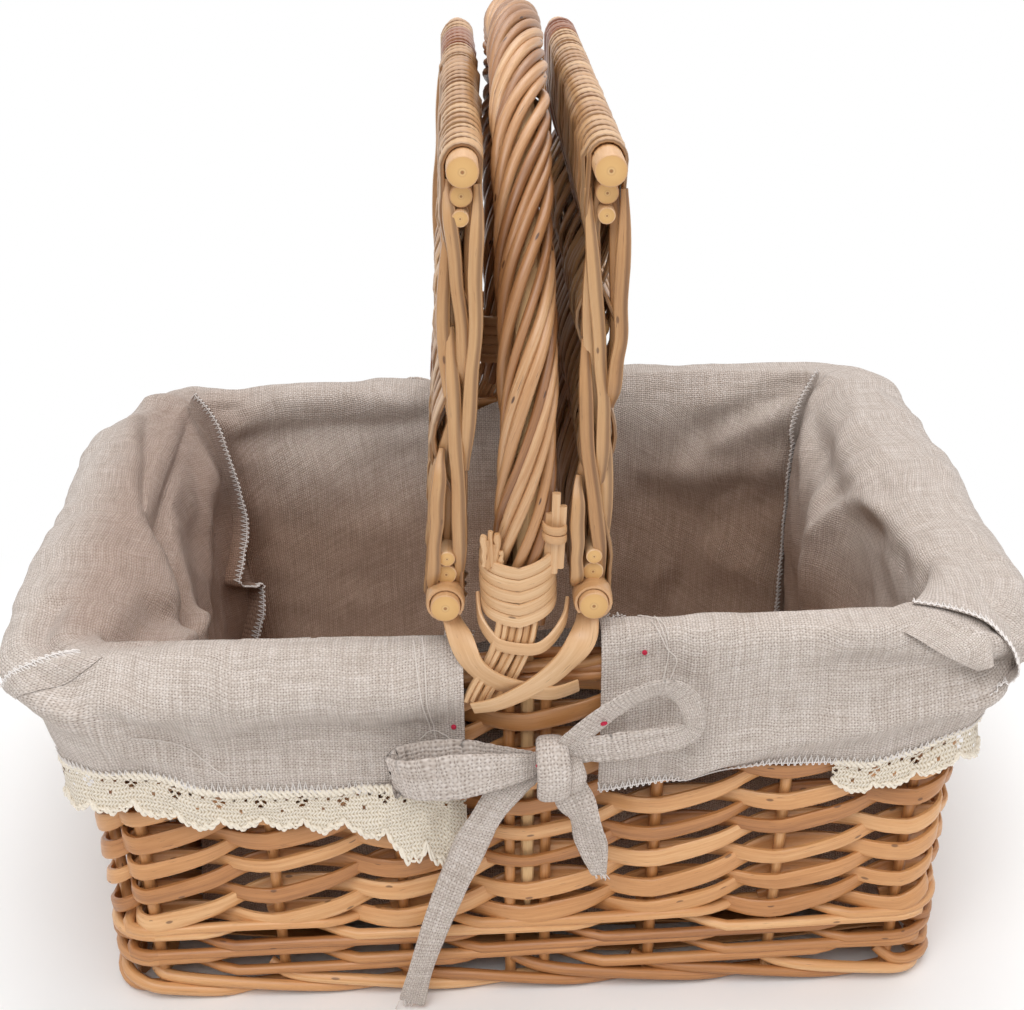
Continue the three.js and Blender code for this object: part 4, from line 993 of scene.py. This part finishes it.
# A tuck of the front panel, rolled under the right flap
cornerTuck = {"upper": [(147, -148, 197.4), (166, -137, 198.3), (183, -143, 198.3), (196, -155, 195),
                        (193, -168, 187)],
              "lower": [(147, -148.5, 197.2), (160, -161.5, 196), (172, -168, 190.5), (187, -171, 183.5)],
              "bow": (3, -3, 1.2), "steps": 50}
flapSteps = 60
flapLines = {}
for name, flap in cornerFlaps.items():
    edge = wayPoints(flap["edge"], flapSteps)
    root = [clothPoint(p.x, p.y, 0.4) for p in smoothWay(flap["root"], flapSteps)]
    flapLines[name] = (edge, root)
for name, (start, end) in skirtEnds.items():
    bm = bmesh.new()
    addSheet(bm, skirt["columns"], skirt["rows"],
             lambda s, t: clothPoint(markAt(mix(start, end, s)), mix(1.0, clothJoin, t)), end - start)
    edge, root = flapLines[name]
    addFlap(bm, edge, root, 12, lineLength(edge), Vector(cornerFlaps[name]["bow"]) * mm)
    if name == "right":
        upper, lower = (wayPoints(cornerTuck[side], cornerTuck["steps"]) for side in ("upper", "lower"))
        addFlap(bm, upper, lower, 14, lineLength(upper), Vector(cornerTuck["bow"]) * mm)
    finishPiece(f"linen_skirt_{name}", bm, [linen], "basket", [f"liner_skirt_{name}"], 180)
print("stage: skirts")


# Overlocking: slanting stitches over an edge and a looped chain along it, in white thread
thread = makeSection("thread", 1, 1, 1.0, 5)
overlock = {"pitch": 2.7 * mm, "thread": 0.62 * mm, "deep": 4.6 * mm, "off": 0.7 * mm,
            "stitch": (1.0, 0.5, -0.12, -0.12, 0.5)}


def addOverlock(bm, edge, root):
    run = [0.0]
    for a, b in zip(edge, edge[1:]):
        run.append(run[-1] + (b - a).length)
    beats = len(overlock["stitch"])
    count = int(run[-1] / overlock["pitch"]) * beats
    points, chain = [], []
    k = 0
    for i in range(count):
        place = run[-1] * i / count
        while run[k + 1] < place:
            k += 1
        share = (place - run[k]) / (run[k + 1] - run[k])
        outer, inner = edge[k].lerp(edge[k + 1], share), root[k].lerp(root[k + 1], share)
        side = (inner - outer).cross(edge[k + 1] - edge[k]).normalized()
        side = -side if side.dot(outer) < 0 else side
        down = (inner - outer).normalized()
        deep = overlock["stitch"][i % beats] * overlock["deep"] * (1 + wander(3.7, place * 180, 0.5))
        points.append(outer + down * deep + side * overlock["off"])
        chain.append(outer + down * (0.5 * mm * (1 + i % 2)) + side * overlock["off"])
    addStrand(bm, thread, points, [overlock["thread"]] * len(points))
    addStrand(bm, thread, chain, [overlock["thread"]] * len(chain))


# Stitched facings and frayed threads beside the slits, and red tacks, by mark and share
slitTrim = {
    "left": {"facing": [(2.24, 0.58), (2.26, 0.70), (2.27, 0.80), (2.32, 0.90)], "tacks": [(2.45, 0.865)],
             "fray": (2.50, 0.50),
             "loose": [[(2.18, 0.60), (2.20, 0.70), (2.24, 0.80), (2.28, 0.88)],
                       [(0.15, 0.88), (0.5, 0.91), (0.75, 0.95)],
                       [(2.2, 0.89), (2.3, 0.875), (2.42, 0.89), (2.5, 0.91)]]},
    "right": {"facing": [(3.92, 0.58), (3.95, 0.66), (4.0, 0.74), (3.96, 0.82)], "tacks": [(3.83, 0.735)],
              "fray": (3.56, 0.55),
              "loose": [[(3.80, 0.57), (3.95, 0.62), (4.0, 0.70)],
                        [(3.88, 0.62), (3.98, 0.72), (4.06, 0.76), (3.99, 0.83)]]},
}
looseThread = {"thick": 0.5 * mm, "steps": 40}
slitFray = {"threads": 26, "thick": 0.42 * mm, "wide": 0.12, "down": -0.02, "up": 0.04}
tackThick = [1.2 * mm, 2.3 * mm, 2.3 * mm, 1.2 * mm]
hemSteps = 500
for name, (start, end) in skirtEnds.items():
    bm = bmesh.new()
    marks = [markAt(mix(start, end, i / hemSteps)) for i in range(hemSteps + 1)]
    addOverlock(bm, [clothPoint(mark, 1.0) for mark in marks], [clothPoint(mark, 0.97) for mark in marks])
    addOverlock(bm, *flapLines[name])
    addOverlock(bm, *seamLines[name])
    trim = slitTrim[name]
    for way in [trim["facing"]] + trim["loose"]:
        line = smoothWay(way, looseThread["steps"])
        line = [clothPoint(p.x, p.y, 0.6 + wander(p.x, i * 0.3, 0.5)) for i, p in enumerate(line)]
        addStrand(bm, thread, line, [looseThread["thick"]] * len(line), material=2)
    for _ in range(slitFray["threads"]):
        mark = trim["fray"][0] + rng.uniform(-slitFray["wide"], slitFray["wide"])
        share = trim["fray"][1] + rng.uniform(slitFray["down"], slitFray["up"])
        foot = clothPoint(mark, share, 0.2)
        lean = Vector((rng.uniform(-2.4, 2.4), rng.uniform(-2, 1), rng.uniform(0.5, 3.2))) * mm
        tip = foot + lean + Vector((rng.uniform(-1, 1) * mm, 0, -0.4 * mm))
        addStrand(bm, thread, [foot, foot + lean * 0.6, tip], [slitFray["thick"]] * 3)
    for mark, share in trim["tacks"]:
        middle, aside = clothPoint(mark, share, 0.6), clothPoint(mark + 0.02, share, 0.6)
        addStrand(bm, thread, [middle.lerp(aside, f) for f in (-0.9, -0.3, 0.3, 0.9)],
                  tackThick, material=1)
    finishPiece(f"skirt_stitching_{name}", bm, [whiteThread, redThread, greyThread], "basket",
                                  [])
print("stage: stitching")

# Crochet cotton: rows of slanting stitches, alternate rows leaning the other way, with painted highlight on top of
# the stitches and painted shade between them
creamCottonStitchShade, tree = newMaterial("cream crochet cotton")
crochet = {"row": 2.1 * mm, "stitch": 1.5 * mm, "stray": 260.0, "stray size": 1.6 * mm, "ridge": 0.7, "bump": 0.8,
           "bump depth": 0.9 * mm}
uv = addNode(tree, "UVMap", uv_map="UVMap")
stray = addNode(tree, "TexNoise", {"Vector": uv, "Scale": crochet["stray"], "Detail": 2.0}, "Color")
stray = addNode(tree, "VectorMath", {0: stray, "Scale": crochet["stray size"]}, operation="SCALE")
across, upward, _ = addNode(tree, "SeparateXYZ",
                            [addNode(tree, "VectorMath", (uv, stray), operation="ADD")]).node.outputs
row = addNode(tree, "Math", (upward, crochet["row"]), operation="DIVIDE")
lean = addNode(tree, "Math", (row, 1.0), operation="PINGPONG")
stitch = addNode(tree, "Math", (across, crochet["stitch"]), operation="DIVIDE")
stitch = addNode(tree, "Math", (stitch, lean), operation="ADD")
stitch = addNode(tree, "Math", (stitch, 0.5), operation="PINGPONG")
ridge = addNode(tree, "Math", (row, 0.5), operation="PINGPONG")
bulge = addNode(tree, "Math", (ridge, crochet["ridge"], stitch), operation="MULTIPLY_ADD")
# Painted highlight on top of the stitches and painted shade between them, by the relief
cotton = addNode(tree, "ValToRGB", [bulge])
setRamp(cotton.node, [(0.06, "A08C72"), (0.22, "D2C3AC"), (0.5, "E8DDCC"), (0.8, "F0E8DC")])
bump = addNode(tree, "Bump", {"Strength": crochet["bump"], "Distance": crochet["bump depth"], "Height": bulge})
shader = addNode(tree, "BsdfPrincipled",
                 {"Base Color": cotton, "Roughness": 0.92, "Sheen Weight": 0.15, "Normal": bump})
addNode(tree, "OutputMaterial", [shader])

# Crochet lace hanging from the hem: close stitches with groups of holes, a corded head and a scalloped edge of picots
lace = {"yarn": 1.5 * mm, "motif": 18 * mm, "cells": 28, "rows": 26, "deep": 15.4, "scallop": 4.4, "steps": 36,
        "holes": [(0.0, 3.4, 0.065, 0.9), (-0.1, 6.0, 0.06, 1.0), (0.1, 6.0, 0.06, 1.0), (0.0, 8.4, 0.06, 0.9),
                  (0.5, 10.6, 0.05, 0.8), (0.36, 4.4, 0.04, 0.7), (0.64, 4.4, 0.04, 0.7)],
        "bunch": (2.22, 21 * mm), "short": (5.7, 55 * mm)}
laceEnds = {"left": skirtEnds["left"], "right": (distanceAt(5.3), skirtEnds["right"][1])}


# How near a stretch of the lace lies to one of its odd places
def laceNear(distance, spot):
    mark, reach = lace[spot]
    return math.exp(-((distance % rimRound - distanceAt(mark)) / reach) ** 2)


# A point on the lace, along the hem and down from it in millimetres; bunched up beside the front slit
def lacePoint(distance, down, lift=0.0):
    mark = markAt(distance)
    outward = (loopPoint(mark, 1.0, 0.1) - loopPoint(mark, 0.0, 0.1)).normalized()
    place = Vector((distance * 1000, down, 0))
    bunch = laceNear(distance, "bunch")
    short = laceNear(distance, "short")
    wave = ripple(place * 0.03, 3.5 + 7 * bunch + 3 * short) * down / 20
    crumple = ripple(place * 0.09, 1.0 + 2.6 * bunch)
    swell = 1 + 1.1 * bunch - 0.36 * short + ripple(Vector((distance * 22, 3, 7)), 0.25)
    out = lift + 0.2 + max(-1.2, wave + 3 * bunch * (1 + down / 20)) + crumple
    drop = down * swell - 1.2 - 7 * bunch + ripple(place * 0.07 + Vector((5, 0, 0)), 0.9)
    return clothPoint(mark, 1.0) + outward * (out * mm) - Vector((0, 0, drop * mm))


# Whether a place in a motif falls in a hole
def inHole(share, down):
    for middle, level, wide, high in lace["holes"]:
        off = abs((share - middle + 0.5) % 1 - 0.5)
        if (off / wide) ** 2 + ((down - level) / high) ** 2 < 1:
            return True
    return False


# The scalloped edge, with three points to a motif
def scallop(turns):
    return lace["scallop"] * abs(math.sin(math.pi * turns)) ** 0.8 + 1.3 * abs(math.sin(3 * math.pi * turns))


for name, (start, end) in laceEnds.items():
    bm = bmesh.new()
    motifs = int((end - start) / lace["motif"])
    step = (end - start) / motifs
    addSheet(bm, motifs * lace["cells"], lace["rows"],
             lambda s, t: lacePoint(mix(start, end, s), t * (lace["deep"] + scallop(s * motifs))), end - start)
    uvMap = uvLayer(bm)
    holes = []
    for face in bm.faces:
        middle = sum((loop[uvMap].uv for loop in face.loops), Vector((0, 0))) / len(face.loops)
        if inHole(middle.x / step % 1, middle.y / mm):
            holes.append(face)
    bmesh.ops.delete(bm, geom=holes, context="FACES")
    cords = [[] for _ in range(4)]
    for i in range(motifs * lace["steps"]):
        turns = i / lace["steps"]
        place = start + turns * step
        wave = math.sin(2 * math.pi * turns * 7)
        back = 0.5 * math.cos(2 * math.pi * turns * 7)
        cords[0].append(lacePoint(place, 0.5 + wave * 0.7, 0.3 + back))
        cords[1].append(lacePoint(place, 1.8 - wave * 0.7, 0.3 - back))
        cords[2].append(lacePoint(place, lace["deep"] - 0.6 + scallop(turns) + wave * 0.4, 0.2 + back))
        cords[3].append(lacePoint(place, lace["deep"] + 0.5 + scallop(turns) - wave * 0.4, 0.2 - back))
    for cord in cords:
        addStrand(bm, thread, cord, [lace["yarn"] * (1 + wander(7, i * 0.21, 0.4)) for i in range(len(cord))],
                  material=1)
    finishPiece(f"crochet_lace_{name}", bm, [creamCottonStitchShade, creamCord], "basket",
                              [f"lace_{name}"], 180)
print("stage: lace")
for name, (start, end) in skirtEnds.items():
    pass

# Bows of the same linen, tied through the weave under each slit
bowParts = {
    "left loop": {"way": [(3, 170, 141), (-12, 175, 142), (-32, 177.5, 141), (-50, 176, 139), (-58, 170.5, 138),
                          (-50, 165.5, 138), (-30, 164.5, 139), (-12, 165, 140), (4, 167, 140)],
                  "width": [0.6, 0.95, 1.45, 1.45, 1.25, 1.35, 1.3, 0.9, 0.6],
                  "tilt": [0.2, 0.15, -0.1, -0.2, -0.1, -0.1, -0.2, 0, 0]},
    "right loop": {"way": [(12, 170, 146), (20, 173, 157), (32, 175.5, 170), (46, 176, 179.5), (57, 175.5, 181.5),
                           (65.5, 174.5, 175), (69, 174, 163), (65, 173.5, 157), (52, 173.5, 154), (36, 172.5, 151),
                           (20, 170, 147.5), (10, 168, 143)],
                   "width": [0.6, 0.7, 0.7, 0.65, 0.62, 0.62, 0.55, 0.7, 0.9, 0.95, 0.8, 0.6],
                   "tilt": [0.3, 0.4, 0.5, 0.5, 0.5, 0.4, 0.3, 0.2, 0.1, 0.1, 0.1, 0.1]},
    "long tail": {"way": [(4, 166.5, 138), (-8, 168, 130), (-20, 169, 112), (-31, 167.5, 86), (-41, 165, 56),
                          (-50, 162, 24), (-54.5, 160, 4)],
                  "width": [0.6, 0.85, 0.9, 0.85, 0.75, 0.7, 0.72], "tilt": [0.3, 0.2, -0.2, 0.5, 0.1, -0.2, 0.2]},
    "short tail": {"way": [(13, 167, 137), (18, 170, 126), (24, 170.5, 112), (27, 168, 98), (31, 166.5, 80)],
                   "width": [0.6, 0.95, 1.0, 0.9, 0.4], "tilt": [0.3, -0.4, 0.4, 0.1, -0.2]},
}
bowKnots = [
    {"way": [(9, 163, 149), (9, 171, 152), (9.6, 177.5, 146), (10, 179, 138), (9.6, 175, 129), (9, 165, 127)],
     "steps": 30, "width": 0.85, "swell": 0.2},
    {"way": [(15, 165, 144), (18, 172, 143), (20, 175.5, 137), (18, 172, 130), (14, 165, 128)],
     "steps": 24, "width": 0.62, "swell": 0},
]
# Frayed ends of the tails: place, lean and half width
bowFray = [(-54.5, 160, 4.5, -0.3, 6), (31, 166.5, 80, 0.3, 3)]
bowTacks = [(30.5, 177.4, 166), (3.5, 178, 146.5)]
bow = {"steps": 12, "girth": 36 * mm, "knot girth": 34 * mm, "threads": 12, "thread": 0.5 * mm,
       "tack": [1 * mm, 1.9 * mm, 1.9 * mm, 1 * mm]}
ribbon = makeSection("ribbon", 2.6 * mm, 17 * mm, 0.6, 14)
knotBand = makeSection("knotBand", 14 * mm, 6 * mm, 0.75, 14)
for name, turn in (("front", 0), ("back", math.pi)):
    bm = bmesh.new()
    for part in bowParts.values():
        steps = bow["steps"] * (len(part["way"]) - 1)
        points = wayPoints(part["way"], steps, -1)
        sizes = smoothWay(list(zip(part["width"], part["tilt"])), steps)
        points = [p + Vector((0, wander(i * 0.1, 3, 0.5 * mm), wander(i * 0.13, 5, 0.5 * mm)))
                  for i, p in enumerate(points)]
        addStrand(bm, ribbon, points, [p.x for p in sizes], [p.y for p in sizes], girth=bow["girth"])
    for knot in bowKnots:
        bulges = [math.sin(i / knot["steps"] * math.pi) for i in range(knot["steps"] + 1)]
        addStrand(bm, knotBand, wayPoints(knot["way"], knot["steps"], -1),
                  [knot["width"] + knot["swell"] * bulge for bulge in bulges], girth=bow["knot girth"])
    for x, y, z, lean, spread in bowFray:
        for _ in range(bow["threads"]):
            foot = Vector((x + spread * rng.uniform(-1, 1), -y + rng.uniform(-0.8, 0.8),
                           z + rng.uniform(0, 1.5))) * mm
            fall = Vector((lean + rng.uniform(-0.5, 0.5), rng.uniform(-0.3, 0.3), -1)) * rng.uniform(1.5, 4) * mm
            addStrand(bm, thread, [foot, foot + fall * 0.5, foot + fall], [bow["thread"]] * 3, material=1)
    for x, y, z in bowTacks:
        addStrand(bm, thread, [Vector((x + i, -y, z + i * 0.3)) * mm for i in (-1.4, -0.5, 0.5, 1.4)],
                  bow["tack"], material=2)
    bmesh.ops.rotate(bm, cent=(0, 0, 0), matrix=Matrix.Rotation(turn, 3, "Z"), verts=bm.verts)
    finishPiece(f"linen_bow_{name}", bm, [bowLinen, greyThread, redThread], "basket",
                             [f"{name}_bow"], 180)
print("stage: bows")

# Camera set where the photograph was taken from
view = {"place": (-26.82 * mm, -754.37 * mm, 539.99 * mm), "yaw": 0.0337, "pitch": 0.4411, "roll": 0.0049,
        "lens": 57.68, "sensor": 36.0, "width": 1024, "height": 1010}
cameraData = bpy.data.cameras.new("camera")
cameraData.sensor_fit = "HORIZONTAL"
cameraData.sensor_width = view["sensor"]
cameraData.lens = view["lens"]
cameraData.clip_end = 20
camera = bpy.data.objects.new("camera", cameraData)
scene.collection.objects.link(camera)
forward = Vector((math.sin(view["yaw"]) * math.cos(view["pitch"]), math.cos(view["yaw"]) * math.cos(view["pitch"]),
                  -math.sin(view["pitch"])))
level = Vector((math.cos(view["yaw"]), -math.sin(view["yaw"]), 0))
down = forward.cross(level)
right = level * math.cos(view["roll"]) + down * math.sin(view["roll"])
upward = level * math.sin(view["roll"]) - down * math.cos(view["roll"])
camera.matrix_world = Matrix.Translation(view["place"]) @ Matrix((right, upward, -forward)).transposed().to_4x4()
scene.camera = camera
scene.render.resolution_x = view["width"]
scene.render.resolution_y = view["height"]
scene.view_settings.view_transform = "Standard"


# One for the rays that show the backdrop, nought for those that light the object
def seenRays(tree):
    rays = addNode(tree, "LightPath").node.outputs
    seen = addNode(tree, "Math", (rays["Is Camera Ray"], rays["Is Glossy Ray"]), operation="ADD")
    return addNode(tree, "Math", (seen, rays["Is Transmission Ray"]), operation="ADD", use_clamp=True)


# White floor that keeps the object's shadow and runs into the white backdrop further out
floorMaterial, tree = newMaterial("matt white floor")
floorWhite = {"from": 0.26, "to": 0.48, "half": 6}
near = addNode(tree, "VectorMath", [addNode(tree, "TexCoord", out="Object")], "Value", operation="LENGTH")
far = addNode(tree, "MapRange", (near, floorWhite["from"], floorWhite["to"]), interpolation_type="SMOOTHSTEP")
far = addNode(tree, "Math", (far, seenRays(tree)), operation="MULTIPLY")
paper = addNode(tree, "BsdfPrincipled", {"Base Color": (0.92, 0.92, 0.92, 1), "Roughness": 0.9})
glow = addNode(tree, "Emission", {"Color": (1, 1, 1, 1), "Strength": 1.0})
addNode(tree, "OutputMaterial", [addNode(tree, "MixShader", (far, paper, glow))])
bm = bmesh.new()
bmesh.ops.create_grid(bm, x_segments=1, y_segments=1, size=floorWhite["half"])
mesh = bpy.data.meshes.new("floor")
bm.to_mesh(mesh)
bm.free()
mesh.materials.append(floorMaterial)
floor = bpy.data.objects.new("floor", mesh)
scene.collection.objects.link(floor)

# Soft lamps turned to the middle of the basket
lampAim = Vector((0, 0, 0.15))
lamps = {
    "key": {"place": (-0.4, -1.4, 2.0), "size": 1.4, "power": 27},
    "fill": {"place": (1.6, -1.0, 1.0), "size": 1.8, "power": 9},
    "side": {"place": (-1.8, -0.6, 0.8), "size": 1.8, "power": 4},
    "top": {"place": (0.2, 0.5, 2.2), "size": 1.8, "power": 29},
}
for name, lamp in lamps.items():
    light = bpy.data.lights.new(name, "AREA")
    light.size = lamp["size"]
    light.energy = lamp["power"]
    lampObject = bpy.data.objects.new(name, light)
    lampObject.location = lamp["place"]
    lampObject.rotation_euler = (lampAim - Vector(lamp["place"])).to_track_quat("-Z", "Y").to_euler()
    scene.collection.objects.link(lampObject)

# A plain world, white where the camera sees it
world = bpy.data.worlds.new("studio")
world.use_nodes = True
scene.world = world
tree = world.node_tree
tree.nodes.clear()
strength = addNode(tree, "MapRange", {0: seenRays(tree), 3: 0.4, 4: 1.0})
addNode(tree, "OutputWorld", [addNode(tree, "Background", ((1, 1, 1, 1), strength))])

for tool in tools:
    bpy.data.curves.remove(tool.data)
print("stage: studio")
